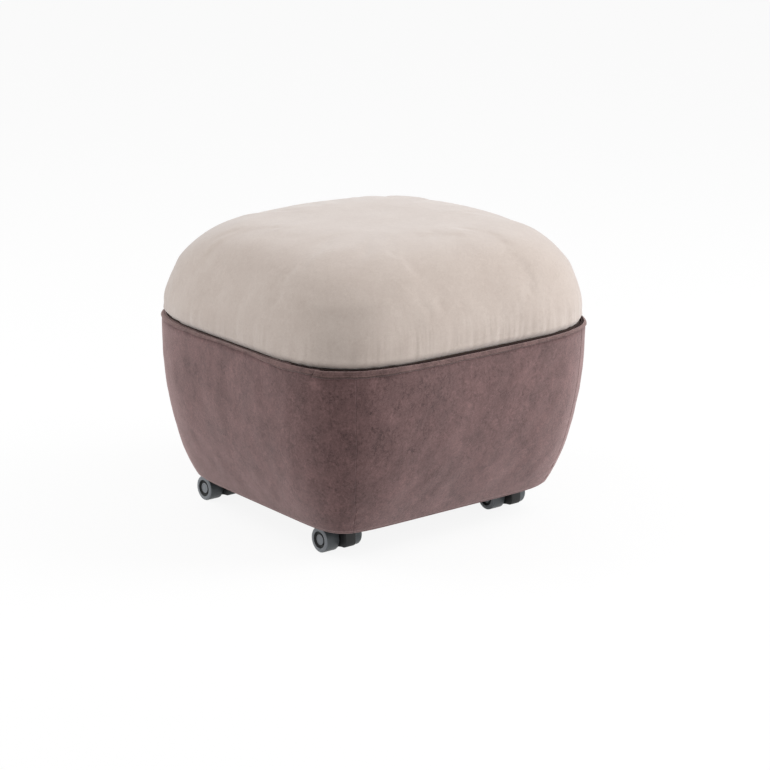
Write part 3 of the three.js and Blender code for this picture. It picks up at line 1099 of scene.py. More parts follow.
# The pieces
@dataclass
class SeatCushion:
    """The domed seat in its stretched cover, and the cover's skirt behind the band."""

    form: Form
    finish: Pile
    shaded: Pile
    voxel: float = 5.5 * MM
    weld: float = 0.05 * MM
    ring_points: int = 240
    rings: int = 60
    base_rings: Tuple[float, ...] = (0.001, 0.3, 0.6, 0.9, 1.0)
    sunk: float = 3.0 * MM
    swell: float = 1.6 * MM
    swell_at_rim: float = 0.3
    pressure: float = 4.0
    tack_rows: float = 0.8
    free_from: float = 12 * MM
    cap: float = 1.2 * MM
    frames: int = 20
    calm: int = 2
    trend_degree: int = 4
    creases: int = 120
    front_creases: float = 0.6
    crease_bearing: float = -0.9
    crease_spread: float = 0.9
    crease_widths: Pair = (2.6 * MM, 5.2 * MM)
    crease_reach: float = 78 * MM
    crease_full: float = 0.25
    crease_depth: float = 0.75 * MM
    crease_shares: Pair = (0.3, 1.0)
    crease_lean: float = 0.08
    crease_foot: float = 7 * MM
    dent: float = 0.45 * MM
    dent_size: float = 75 * MM
    dent_from: Pair = (12 * MM, 50 * MM)
    snug: float = 2.4 * MM
    snug_to: Pair = (14 * MM, 4 * MM)
    bulge: float = 3.4 * MM
    bulge_rise: float = 24 * MM
    bulge_reach: float = 34 * MM
    bulge_foot: float = 9 * MM
    waist: float = 1.2 * MM
    waist_rise: float = 92 * MM
    waist_reach: float = 16 * MM
    up_share: float = 0.6
    up_from: float = 40 * MM
    tilt: float = 0.6 * MM
    lift: float = 0.8 * MM
    lift_from: Pair = (60 * MM, 115 * MM)
    slump: float = 2.6 * MM
    slump_foot: float = 6 * MM
    slump_to: Pair = (46 * MM, 18 * MM)
    slump_side: Pair = (0.5, 0.95)
    skirt_drop: float = 17 * MM
    skirt_top: float = 1.7 * MM
    skirt_rows: int = 5
    cloth: float = 1.5 * MM

    def build(self) -> None:
        cloth = self.finish.material()
        cushion = self.dome()
        self.inflate(cushion)
        modify(cushion, "SUBSURF", levels=1, render_levels=1)
        self.press_creases(cushion)
        smooth(cushion, 80)
        dress(cushion, cloth, ROOT)
        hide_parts("seat_foam", "seat_cover")
        skirt, length = self.skirt()
        # The skirt wears a dark copy of the cream without sheen: painted shade in the crevice behind the
        # band.
        dress(skirt, self.shaded.material(), ROOT)
        height = self.skirt_drop - self.skirt_top

    def dome(self) -> bpy.types.Object:
        """Wraps a grid over the dome from the middle of its base to its top, and remeshes it.

        Returns:
            The closed dome, a little smaller than the seat.
        """
        rim = self.form.seat(0.0, self.swell * self.swell_at_rim)
        base = replace(rim, height=rim.height - self.sunk)
        sections = [
            replace(base, half_width=base.half_width * part, half_depth=base.half_depth * part)
            for part in self.base_rings
        ]
        sections += [self.form.seat(share, self.swell) for share in self.form.seat_shares(self.rings)]
        round_trip = np.linspace(0, 1, self.ring_points + 1)
        points = np.array([section.walk(0.0, 2 * math.pi, round_trip) for section in sections])
        dome = laid_grid("seat_cushion", points, (round_trip, np.linspace(0, 1, len(sections))))
        face_out(dome, merge=self.weld)
        modify(dome, "REMESH", mode="VOXEL", voxel_size=self.voxel)
        return dome

    def inflate(self, cushion: bpy.types.Object) -> None:
        """Blows the dome up as cloth for a moment, tacked down at its rim and under its base.

        Args:
            cushion: The remeshed dome.
        """
        start = coordinates(cushion)
        tacked = cushion.vertex_groups.new(name="tacked")
        low = np.flatnonzero(start[:, 2] < self.form.seam + self.tack_rows * self.voxel)
        tacked.add(low.tolist(), 1.0, "REPLACE")
        select_only(cushion)
        scene = bpy.context.scene
        cloth = cushion.modifiers.new("Cloth", "CLOTH")
        cloth.settings.quality = 5
        cloth.settings.use_pressure = True
        cloth.settings.uniform_pressure_force = self.pressure
        cloth.settings.effector_weights.gravity = 0
        cloth.settings.vertex_group_mass = tacked.name
        cloth.point_cache.frame_start = 1
        cloth.point_cache.frame_end = self.frames
        for step in range(1, self.frames + 1):
            scene.frame_set(step)
        bpy.ops.object.modifier_apply(modifier=cloth.name)
        scene.frame_set(1)
        normal = np.empty(start.size)
        cushion.data.vertices.foreach_get("normal", normal)
        normal = normal.reshape(-1, 3)
        moved = np.sum((coordinates(cushion) - start) * normal, axis=1)
        log.info("cushion: blown up %.2f mm on average", moved.mean() / MM)
        free = eased(start[:, 2], self.form.seam, self.form.seam + self.free_from)
        push = (self.swell + self.relief(start, moved)) * free
        move_to(cushion, start + normal * push[:, None])
        modify(cushion, "SMOOTH", factor=0.5, iterations=self.calm)

    def relief(self, start: Point, moved: np.ndarray) -> np.ndarray:
        """What the blown-up dome has beyond its smooth trend.

        Args:
            start: The vertices before.
            moved: How far each of them went outwards.

        Returns:
            The relief, held within the cap.
        """
        size = np.array([self.form.half_width, self.form.half_depth, self.form.crown])
        placed = (start - np.array([0, 0, self.form.seam])) / size
        box = (self.trend_degree + 1,) * 3
        powers = [power for power in np.ndindex(box) if sum(power) <= self.trend_degree]
        basis = np.stack([np.prod(placed**np.array(power), axis=1) for power in powers], 1)
        trend = basis @ np.linalg.lstsq(basis, moved, rcond=None)[0]
        return np.clip(moved - trend, -self.cap, self.cap)

    def press_creases(self, cushion: bpy.types.Object) -> None:
        """Gives the smooth cushion its creases and the form of a used seat.

        Args:
            cushion: The smooth cushion.
        """
        points = coordinates(cushion)
        rise = points[:, 2] - self.form.seam
        sideways = points[:, :2] @ np.array(PICTURE_RIGHT) / self.form.half_width
        outwards = points * np.array([1, 1, 0])
        outwards /= np.maximum(np.linalg.norm(outwards, axis=1, keepdims=True), 1e-9)
        outwards[:, 2] = self.up_share * eased(rise, self.up_from, self.form.crown)
        push = self.wear(points, rise, sideways) - self.crease_depths(points, rise)
        moved = points + outwards * push[:, None]
        moved[:, 2] += (self.lift + self.tilt * sideways) * eased(rise, *self.lift_from)
        move_to(cushion, moved)

    def crease_depths(self, points: Point, rise: np.ndarray) -> np.ndarray:
        """Faint upright creases, most of them on the front and the right.

        They are where the cover is pulled down behind the band.

        Args:
            points: The cushion's vertices.
            rise: How far each is above the seam.

        Returns:
            How deep each is pressed in.
        """
        pick = np.random.default_rng(12)
        angle = np.arctan2(points[:, 1], points[:, 0])
        radius = np.hypot(points[:, 0], points[:, 1])
        depth = np.zeros(len(points))
        for _ in range(self.creases):
            if pick.uniform() < self.front_creases:
                at = pick.normal(self.crease_bearing, self.crease_spread)
            else:
                at = pick.uniform(-math.pi, math.pi)
            width = pick.uniform(*self.crease_widths)
            reach = self.crease_reach * pick.uniform(*self.crease_shares)
            amount = self.crease_depth * pick.uniform(*self.crease_shares)
            lean = pick.uniform(-self.crease_lean, self.crease_lean)
            off = (np.remainder(angle - at + math.pi, 2 * math.pi) - math.pi) * radius + rise * lean
            along = eased(rise, reach, reach * self.crease_full) * eased(rise, 0, self.crease_foot)
            depth += amount * hump(off, 0.0, width) * along
        return depth

    def wear(self, points: Point, rise: np.ndarray, sideways: np.ndarray) -> np.ndarray:
        """The used form: soft dents, a bulge over the band, a waist above it and a slump at the left.

        Args:
            points: The cushion's vertices.
            rise: How far each is above the seam.
            sideways: Where each is across the photograph, with its left below 0.

        Returns:
            How far each goes outwards.
        """
        soft = waves(points, self.dent_size, seed=5) * self.dent * eased(rise, *self.dent_from)
        soft += self.bulge * hump(rise, self.bulge_rise, self.bulge_reach) * eased(rise, 0, self.bulge_foot)
        soft -= self.waist * hump(rise, self.waist_rise, self.waist_reach)
        soft += self.snug * eased(rise, *self.snug_to)
        low = eased(rise, 0, self.slump_foot) * eased(rise, *self.slump_to)
        return soft + self.slump * low * eased(-sideways, *self.slump_side)

    def skirt(self) -> Tuple[bpy.types.Object, float]:
        """The strip of cover that goes down behind the band, where it is stapled.

        Returns:
            The skirt and its length.
        """
        section = self.form.seat(0.0)
        round_trip = np.linspace(0, 1, self.ring_points + 1)
        foot, top = section.height - self.skirt_drop, section.height - self.skirt_top
        heights = np.linspace(foot, top, self.skirt_rows)
        points = np.array(
            [replace(section, height=height).walk(0.0, 2 * math.pi, round_trip) for height in heights]
        )
        length = run_length(points[0])
        piece = laid_grid("seat_cover_skirt", points, (round_trip * length, heights))
        face_out(piece, merge=WELD)
        modify(piece, "SOLIDIFY", thickness=self.cloth, offset=-1.0)
        smooth(piece)
        return piece, length


@dataclass
class VelvetBody:
    """The four velvet panels, sewn down the corners, with their edges turned in at every seam."""

    form: Form
    finish: Pile
    pitch: float = 2.6 * MM
    roll: float = 1.0 * MM
    roll_steps: int = 6
    tuck: float = 18 * MM
    tuck_rows: int = 6
    edge_rows: int = 7
    cloth: float = 1.5 * MM
    unevenness: float = 0.6 * MM
    swell: float = 95 * MM
    dimple: float = 30 * MM
    dimple_share: float = 0.35
    face_side: float = 30 * MM
    face_foot: Pair = (5 * MM, 40 * MM)
    face_top: float = 45 * MM
    pucker: float = 0.45 * MM
    pucker_pitch: float = 15 * MM
    pucker_reach: float = 10 * MM
    pucker_at_top: float = 0.35
    wander: float = 0.5 * MM
    wander_length: float = 80 * MM
    jitter_length: float = 16 * MM
    jitter_share: float = 0.3
    wander_foot: float = 8 * MM
    kink: float = 2.2 * MM
    kink_height: float = 79 * MM
    kink_length: float = 7 * MM
    hidden: float = 4.5 * MM
    drawn: float = 1.7 * MM
    below: float = 2 * MM

    def build(self) -> None:
        cloth = self.finish.material()
        for side in Side:
            panel = self.panel(side)
            dress(panel, cloth, ROOT)
            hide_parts(f"velvet_panel_{side.word}")

    def levels(self) -> List[Triple]:
        """The rows of a panel, from its tucked edge, round the bottom and up behind the band.

        Returns:
            For each row: the body height whose section it follows, how far inside, and its height.
        """
        form = self.form
        rows = []
        for share in np.linspace(0, 1, self.tuck_rows, endpoint=False):
            rows.append((form.foot, form.edge + self.tuck * (1 - share), form.foot))
        for angle in np.linspace(math.pi / 2, 0, self.edge_rows, endpoint=False):
            inward = form.edge * (1 - math.cos(angle))
            rows.append((form.foot, inward, form.foot + form.edge * (1 - math.sin(angle))))
        top = form.seam - self.hidden
        bottom = form.foot + form.edge
        for height in np.linspace(bottom, top, int((top - bottom) / self.pitch)):
            behind = float(eased(np.array(height), form.seam - form.band_height - self.below, top))
            rows.append((height, self.drawn * behind, height))
        return rows

    def lean(self, seam: int, height: float) -> float:
        """How far a corner seam wanders to one side at a height.

        Args:
            seam: Which corner, 0 to 3, by the side that starts there.
            height: The height.

        Returns:
            The distance along the outline.
        """
        spot = np.array([[height]])
        offset = float(waves(spot, self.wander_length, seed=60 + seam, count=3)[0]) * self.wander
        jitter = float(waves(spot, self.jitter_length, seed=70 + seam, count=3)[0])
        offset += jitter * self.wander * self.jitter_share
        if seam == Side.FRONT.value:
            offset += self.kink * float(hump(np.array(height), self.kink_height, self.kink_length))
        foot = self.form.foot
        return offset * float(eased(np.array(height), foot, foot + self.wander_foot))

    def panel(self, side: Side) -> bpy.types.Object:
        """One side's velvet.

        Args:
            side: Which side.

        Returns:
            The panel.
        """
        form = self.form
        top = form.body(form.seam)
        first, last = form.seam_angles(top, side)
        length = run_length(top.walk(first, last, np.linspace(0, 1, 400)))
        shares = crowded(length, self.pitch, 2.5 * self.roll, self.roll_steps + 3)
        rows = []
        for level, inward, height in self.levels():
            plain = form.body(level, inward)
            section = replace(plain, height=height)
            first, last = form.seam_angles(section, side)
            reach = math.hypot(section.half_width, section.half_depth)
            first += self.lean(side.value, height) / reach
            last += self.lean((side.value + 1) % len(Side), height) / reach
            rows.append(section.walk(first, last, shares))
        points = np.array(rows)
        step = np.linalg.norm(np.diff(points[:, len(shares) // 2], axis=0), axis=1)
        climb = np.concatenate([[0], np.cumsum(step)])
        self.soften(points, shares * length, length, side)
        piece = laid_grid(f"velvet_{side.word}", points, (shares * length, climb))
        modify(piece, "SOLIDIFY", thickness=self.cloth, offset=-1.0)
        smooth(piece, 80)
        return piece

    def soften(self, points: Point, across: np.ndarray, length: float, side: Side) -> None:
        """Turns the side edges in, puckers the cloth beside them and lets the face swell and sink.

        Args:
            points: The panel's rows, changed in place.
            across: The distance of each column from the first seam.
            length: The distance from seam to seam.
            side: Which side, which picks the pattern.
        """
        form = self.form
        normal = outward(points)
        flat = points.reshape(-1, 3)
        height = points[:, :, 2]
        near = np.minimum(across, length - across)[None, :] * np.ones_like(height)
        turn = np.clip(1 - near / self.roll, 0, 1)
        roll = self.roll * (1 - np.sqrt(1 - turn**2 * 0.999))
        low, high = self.face_foot
        face = eased(near, 0, self.face_side) * eased(height, form.foot + low, form.foot + high)
        face = face * eased(height, form.seam - form.band_height, form.seam - self.face_top)
        swell = waves(flat, self.swell, seed=20 + side.value)
        swell += self.dimple_share * waves(flat, self.dimple, seed=30 + side.value, count=12)
        swell = swell.reshape(height.shape) * face
        beside = np.exp(-near / self.pucker_reach) * eased(near, 0, 2 * self.roll)
        at_top = self.pucker_at_top
        strength = at_top + (1 - at_top) * eased(height, form.seam, form.foot)
        pull = waves(height.reshape(-1, 1), self.pucker_pitch, seed=40 + side.value, count=4)
        pull = pull.reshape(height.shape)
        inward = roll - swell * self.unevenness - pull * self.pucker * beside * strength
        points -= normal * inward[:, :, None]


@dataclass(frozen=True)
class Run:
    """What changes along the band, one value for each station: shifts in metres, shrink a share."""

    along: np.ndarray
    lift: np.ndarray
    proud: np.ndarray
    bottom: np.ndarray
    lowered: np.ndarray
    groove: np.ndarray
    shrink: np.ndarray


@dataclass
class Band:
    """The folded strip round the top edge of the body, lapped near the front left corner."""

    form: Form
    finish: Pile
    shaded: Pile
    stations: int = 640
    lap_stations: int = 14
    measured: int = 1200
    weld: float = 0.001 * MM
    swell_length: float = 70 * MM
    dimple_length: float = 22 * MM
    sway_length: float = 55 * MM
    jitter_length: float = 17 * MM
    groove_length: float = 60 * MM
    rise: float = 2.6 * MM
    lap: float = 9 * MM
    ease: Pair = (40 * MM, 3 * MM)
    slant: float = 4 * MM
    rounding: float = 1.5 * MM
    end_share: float = 0.2
    fullness: float = 0.9 * MM
    fullness_share: float = 0.45
    ripple: float = 0.4 * MM
    ripple_share: float = 0.35
    sink: float = 1.3 * MM
    sink_reach: Pair = (40 * MM, 120 * MM)
    corner_place: float = 60 * MM
    corner_reach: Pair = (144 * MM, 72 * MM)
    shaded_to: float = 110 * MM
    lap_shade: float = 1.2 * MM
    settled: float = 0.7 * MM
    crease: float = 0.35 * MM
    corner_crease: float = 1.1 * MM
    crease_share: float = 0.42
    crease_spread: float = 0.09
    drop: float = 1.7 * MM
    narrow: float = 3.3 * MM
    pinch: float = 2.4 * MM
    pinch_place: float = 165 * MM
    pinch_length: float = 60 * MM
    wide_right: Pair = (240 * MM, 430 * MM)
    wide_left: Pair = (45 * MM, 110 * MM)
    outline: Tuple[Pair, ...] = (
        (-0.4, 0.1),
        (-0.22, 0.025),
        (-0.05, 0.0),
        (0.09, 0.04),
        (0.14, 0.13),
        (0.14, 0.25),
        (0.11, 0.34),
        (0.06, 0.42),
        (0.04, 0.5),
        (0.04, 0.59),
        (0.02, 0.69),
        (-0.05, 0.79),
        (-0.16, 0.86),
        (-0.29, 0.89),
        (-0.42, 0.86),
        (-0.52, 0.77),
        (-0.62, 0.68),
        (-0.74, 0.68),
        (-0.81, 0.79),
        (-0.85, 0.9),
        (-0.92, 0.96),
        (-1.0, 0.93),
        (-1.02, 0.82),
        (-1.01, 0.6),
        (-0.9, 0.38),
        (-0.62, 0.2),
    )

    def build(self) -> None:
        """Makes and dresses the band."""
        piece = self.strip()
        dress(piece, self.finish.material(), ROOT)
        self.shade_leaf(piece)
        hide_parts("welt_band")

    def shade_leaf(self, piece: bpy.types.Object) -> None:
        """Gives the channel and the leaf behind the lip, except towards the rear left, and the end of the
        lap a dark copy of the cloth without sheen: painted shade.

        Args:
            piece: The dressed band.
        """
        piece.data.materials.append(self.shaded.material())
        mapped = np.empty(len(piece.data.loops) * 2)
        piece.data.uv_layers.active.data.foreach_get("uv", mapped)
        low, high = self.finish.shade.fold
        for face in piece.data.polygons:
            along, over = mapped[face.loop_start * 2], mapped[face.loop_start * 2 + 1]
            shaded = face.center.y - face.center.x < self.shaded_to
            # The channel, the leaf and the lap's end take the dark copy: painted shade.
            face.material_index = int(along < self.lap_shade or shaded and low < over < high)

    def run(self, length: float) -> Run:
        """Works out how the strip rises, sags, narrows and folds along its length.

        Args:
            length: The way round the body, without the lap.

        Returns:
            The values at each station, which are close together at the lap.
        """
        even = np.linspace(0, length + self.lap, self.stations)
        tight = np.linspace(0, 2 * self.slant, self.lap_stations)
        along = np.unique(np.concatenate([tight, even[even > tight[-1]]]))
        flow = along[:, None]
        back = length - along
        uneven = waves(flow, self.swell_length, seed=3) + 0.5 * waves(flow, self.dimple_length, seed=4)
        sway = waves(flow, self.sway_length, seed=8)
        sway += waves(flow, self.jitter_length, seed=9) * self.ripple_share
        narrowed = self.narrow * eased(along, *self.wide_right) * eased(back, *self.wide_left)
        narrowed += self.pinch * hump(back, self.pinch_place, self.pinch_length)
        corner = eased(along, *self.corner_reach)
        from_corner = np.minimum(np.abs(along - self.corner_place), back)
        groove = self.crease * (0.5 + 0.5 * waves(flow, self.groove_length, seed=14))
        rounding = np.clip(along / self.rounding, 0.02, 1)
        return Run(
            along=along,
            lift=self.fullness * (1 - self.fullness_share + self.fullness_share * uneven),
            proud=self.rise * eased(along, *self.ease),
            bottom=sway * self.ripple + narrowed - self.drop * corner,
            lowered=self.settled + self.sink * eased(from_corner, *self.sink_reach),
            groove=groove + self.corner_crease * corner,
            shrink=self.end_share + (1 - self.end_share) * np.sqrt(1 - (1 - rounding) ** 2),
        )

    def strip(self) -> bpy.types.Object:
        """Sweeps the folded outline round the body, and closes its two ends.

        Returns:
            The band.
        """
        form = self.form
        top = form.body(form.seam)
        start = top.angle(form.lap_bearing)
        length = run_length(top.walk(start, start + 2 * math.pi, np.linspace(0, 1, self.measured)))
        run = self.run(length)
        outline = np.array(self.outline) * np.array([form.band_thickness, form.band_height])
        centre = outline.mean(axis=0)
        closed = np.concatenate([outline, outline[:1]])
        rows = []
        for out, height in closed:
            share = height / form.band_height
            low = max(1 - share, 0)
            outer = float(out > centre[0])
            pressed = run.groove * float(hump(np.array(share), self.crease_share, self.crease_spread))
            push = centre[0] + (out - centre[0]) * run.shrink + run.proud
            push += (run.lift * low - pressed) * outer
            level = centre[1] + (height - centre[1]) * run.shrink
            level += run.bottom * low - run.lowered * max(share, 0)
            shift = self.slant * (share - 0.5) * eased(run.along, 2 * self.slant, 0)
            place, normal = self.base(top, start, (run.along + shift) / length)
            row = place + normal * push[:, None]
            row[:, 2] = form.seam - form.band_height + level
            rows.append(row)
        over = np.concatenate([[0], np.cumsum(np.linalg.norm(np.diff(closed, axis=0), axis=1))])
        piece = laid_grid("band", np.array(rows), (run.along, over))
        self.close_ends(piece)
        face_out(piece)
        modify(piece, "SUBSURF", levels=1, render_levels=1)
        smooth(piece, 80)
        return piece

    @staticmethod
    def base(section: Section, start: float, shares: np.ndarray) -> Tuple[Point, Point]:
        """Points and outward normals on the body's widest outline.

        Args:
            section: The outline.
            start: The angle of share 0.
            shares: Shares of the way round, which may pass 1.

        Returns:
            The points and the normals.
        """
        step = 1e-4
        wrapped = [np.remainder(shares + offset, 1.0) for offset in (-step, 0.0, step)]
        before, here, after = (section.walk(start, start + 2 * math.pi, share) for share in wrapped)
        along = after - before
        normal = np.stack([along[:, 1], -along[:, 0], np.zeros(len(along))], 1)
        return here, normal / np.linalg.norm(normal, axis=1, keepdims=True)

    def close_ends(self, piece: bpy.types.Object) -> None:
        """Merges the outline's first and last rows and fills the two open ends.

        Args:
            piece: The open strip.
        """
        select_only(piece)
        bpy.ops.object.mode_set(mode="EDIT")
        bpy.ops.mesh.select_all(action="SELECT")
        bpy.ops.mesh.remove_doubles(threshold=self.weld)
        bpy.ops.mesh.select_all(action="DESELECT")
        bpy.ops.mesh.select_mode(type="EDGE")
        bpy.ops.mesh.select_non_manifold(use_boundary=True, use_wire=False, use_multi_face=False)
        bpy.ops.mesh.fill_holes(sides=0)
        bpy.ops.object.mode_set(mode="OBJECT")


@dataclass
class Underside:
    """The dust cover under the base, with its turned hem and its staples."""

    form: Form
    finish: Plain
    metal: Plated
    hem: float = 9 * MM
    cloth: float = 0.8 * MM
    columns: int = 110
    sag: float = 1.2 * MM
    ripple: float = 0.35 * MM
    ripple_size: float = 45 * MM
    hem_step: float = 0.45 * MM
    flange_clearance: float = 1.0 * MM
    flange_sides: int = 48
    cutter: float = 20 * MM
    staples_wide: int = 10
    staples_deep: int = 9
    staple_spread: float = 0.86
    staple_width: float = 10 * MM
    wire: float = 0.7 * MM
    wire_share: float = 0.8
    wire_edge: float = 0.16 * MM
    leg: float = 1.2 * MM
    skew: float = 0.12

    def build(self) -> None:
        low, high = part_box("dust_cover")
        cover = self.cover(low, high)
        dress(cover, self.finish.material(), ROOT)
        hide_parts("dust_cover")
        round(high.x - low.x + 2 * self.hem, 3)
        round(high.y - low.y + 2 * self.hem, 3)
        staples = self.staples(low, high)
        dress(staples, self.metal.material(), ROOT)

    def outline(self, low: Vector, high: Vector, angle: np.ndarray) -> np.ndarray:
        """The distance from the middle to the cover's edge.

        Args:
            low: The cover's lowest corner.
            high: Its highest corner.
            angle: The directions.

        Returns:
            The distances.
        """
        power = self.form.bottom_squareness
        wide, deep = (high.x - low.x) / 2, (high.y - low.y) / 2
        across, along = np.abs(np.cos(angle) / wide), np.abs(np.sin(angle) / deep)
        return (across**power + along**power) ** (-1 / power)

    def cover(self, low: Vector, high: Vector) -> bpy.types.Object:
        """The cloth, sagging a little between its staples and open round each socket flange.

        Args:
            low: The cover's lowest corner.
            high: Its highest corner.

        Returns:
            The cover.
        """
        place = np.linspace(-1, 1, self.columns + 1)
        grid = np.stack(np.meshgrid(place, place), 2)
        wide, deep = (high.x - low.x) / 2, (high.y - low.y) / 2
        angle = np.arctan2(grid[:, :, 1] * deep, grid[:, :, 0] * wide)
        ring = np.max(np.abs(grid), axis=2)
        reach = self.outline(low, high, angle) * ring
        points = np.stack([reach * np.cos(angle), reach * np.sin(angle), np.zeros_like(reach)], 2)
        inside = eased(1 - ring, 0, 0.5)
        ripple = waves(points.reshape(-1, 3)[:, :2], self.ripple_size, seed=31)
        ripple = ripple.reshape(ring.shape)
        hem = eased(1 - ring, self.hem / wide, self.hem / wide * 0.85) * self.hem_step
        points[:, :, 2] = high.z - (self.sag + ripple * self.ripple) * inside - hem
        points = points[:, ::-1]
        length = (1 - place) * wide
        piece = laid_grid("dust_cover_cloth", points, (length, (1 + place) * deep))
        modify(piece, "SOLIDIFY", thickness=self.cloth, offset=1.0)
        self.open_round_flanges(piece)
        smooth(piece, 50)
        return piece

    def open_round_flanges(self, piece: bpy.types.Object) -> None:
        """Cuts a round hole in the cover for each castor socket.

        Args:
            piece: The cover.
        """
        for corner in Corner:
            socket = f"castor_socket_{corner.word}"
            low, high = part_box(socket)
            centre = centre_of(socket)
            select_only()
            bpy.ops.mesh.primitive_cylinder_add(
                vertices=self.flange_sides,
                radius=(high.x - low.x) / 2 + self.flange_clearance,
                depth=self.cutter,
                location=(centre.x, centre.y, low.z),
            )
            cutter = named(f"flange_cut_{corner.word}")
            modify(piece, "BOOLEAN", operation="DIFFERENCE", solver="EXACT", object=cutter)
            bpy.data.objects.remove(cutter)

    def staples(self, low: Vector, high: Vector) -> bpy.types.Object:
        """A row of wire staples through the hem.

        Args:
            low: The cover's lowest corner.
            high: Its highest corner.

        Returns:
            All the staples as one piece.
        """
        wide, deep = (high.x - low.x) / 2, (high.y - low.y) / 2
        spots = [
            (wide * share * self.staple_spread, end * (deep - self.hem / 2), 0.0)
            for end in (-1, 1)
            for share in np.linspace(-1, 1, self.staples_wide)
        ]
        spots += [
            (end * (wide - self.hem / 2), deep * share * self.staple_spread, math.pi / 2)
            for end in (-1, 1)
            for share in np.linspace(-1, 1, self.staples_deep)
        ]
        pick = np.random.default_rng(4)
        made = []
        for index, (x, y, turn) in enumerate(spots):
            edge = self.outline(low, high, np.arctan2(y, x))
            reach = min(1.0, (edge - self.hem / 2) / math.hypot(x, y))
            staple = self.staple(index)
            staple.location = (x * reach, y * reach, low.z - self.wire / 2)
            staple.rotation_euler = (0, 0, turn + pick.uniform(-self.skew, self.skew))
            settle(staple)
            made.append(staple)
        select_only(*made)
        bpy.ops.object.join()
        piece = bpy.context.object
        piece.name = "dust_cover_staples"
        smooth(piece)
        return piece

    def staple(self, index: int) -> bpy.types.Object:
        """One wire staple, its legs pointing up.

        Args:
            index: Its number.

        Returns:
            The staple.
        """
        select_only()
        scale = (self.staple_width, self.wire, self.wire * self.wire_share)
        bpy.ops.mesh.primitive_cube_add(size=1.0, scale=scale)
        staple = named(f"staple_{index}")
        for end in (-1, 1):
            pick_faces(staple, lambda face: face.normal.x * end > FLAT)
            bpy.ops.mesh.extrude_region_move(TRANSFORM_OT_translate={"value": (end * self.wire, 0, 0)})
            bpy.ops.object.mode_set(mode="OBJECT")
        edge = self.staple_width / 2
        pick_faces(staple, lambda face: face.normal.z > FLAT and abs(face.center.x) > edge)
        bpy.ops.mesh.extrude_region_move(TRANSFORM_OT_translate={"value": (0, 0, self.leg)})
        bpy.ops.object.mode_set(mode="OBJECT")
        round_edges(staple, self.wire_edge, 2)
        return staple


class Corner(Enum):
    """The four castors, by the side and the end that they stand at."""

    FRONT_LEFT = (-1, -1)
    FRONT_RIGHT = (1, -1)
    REAR_LEFT = (-1, 1)
    REAR_RIGHT = (1, 1)

    @property
    def word(self) -> str:
        """The corner's name in the frame."""
        return self.name.lower()


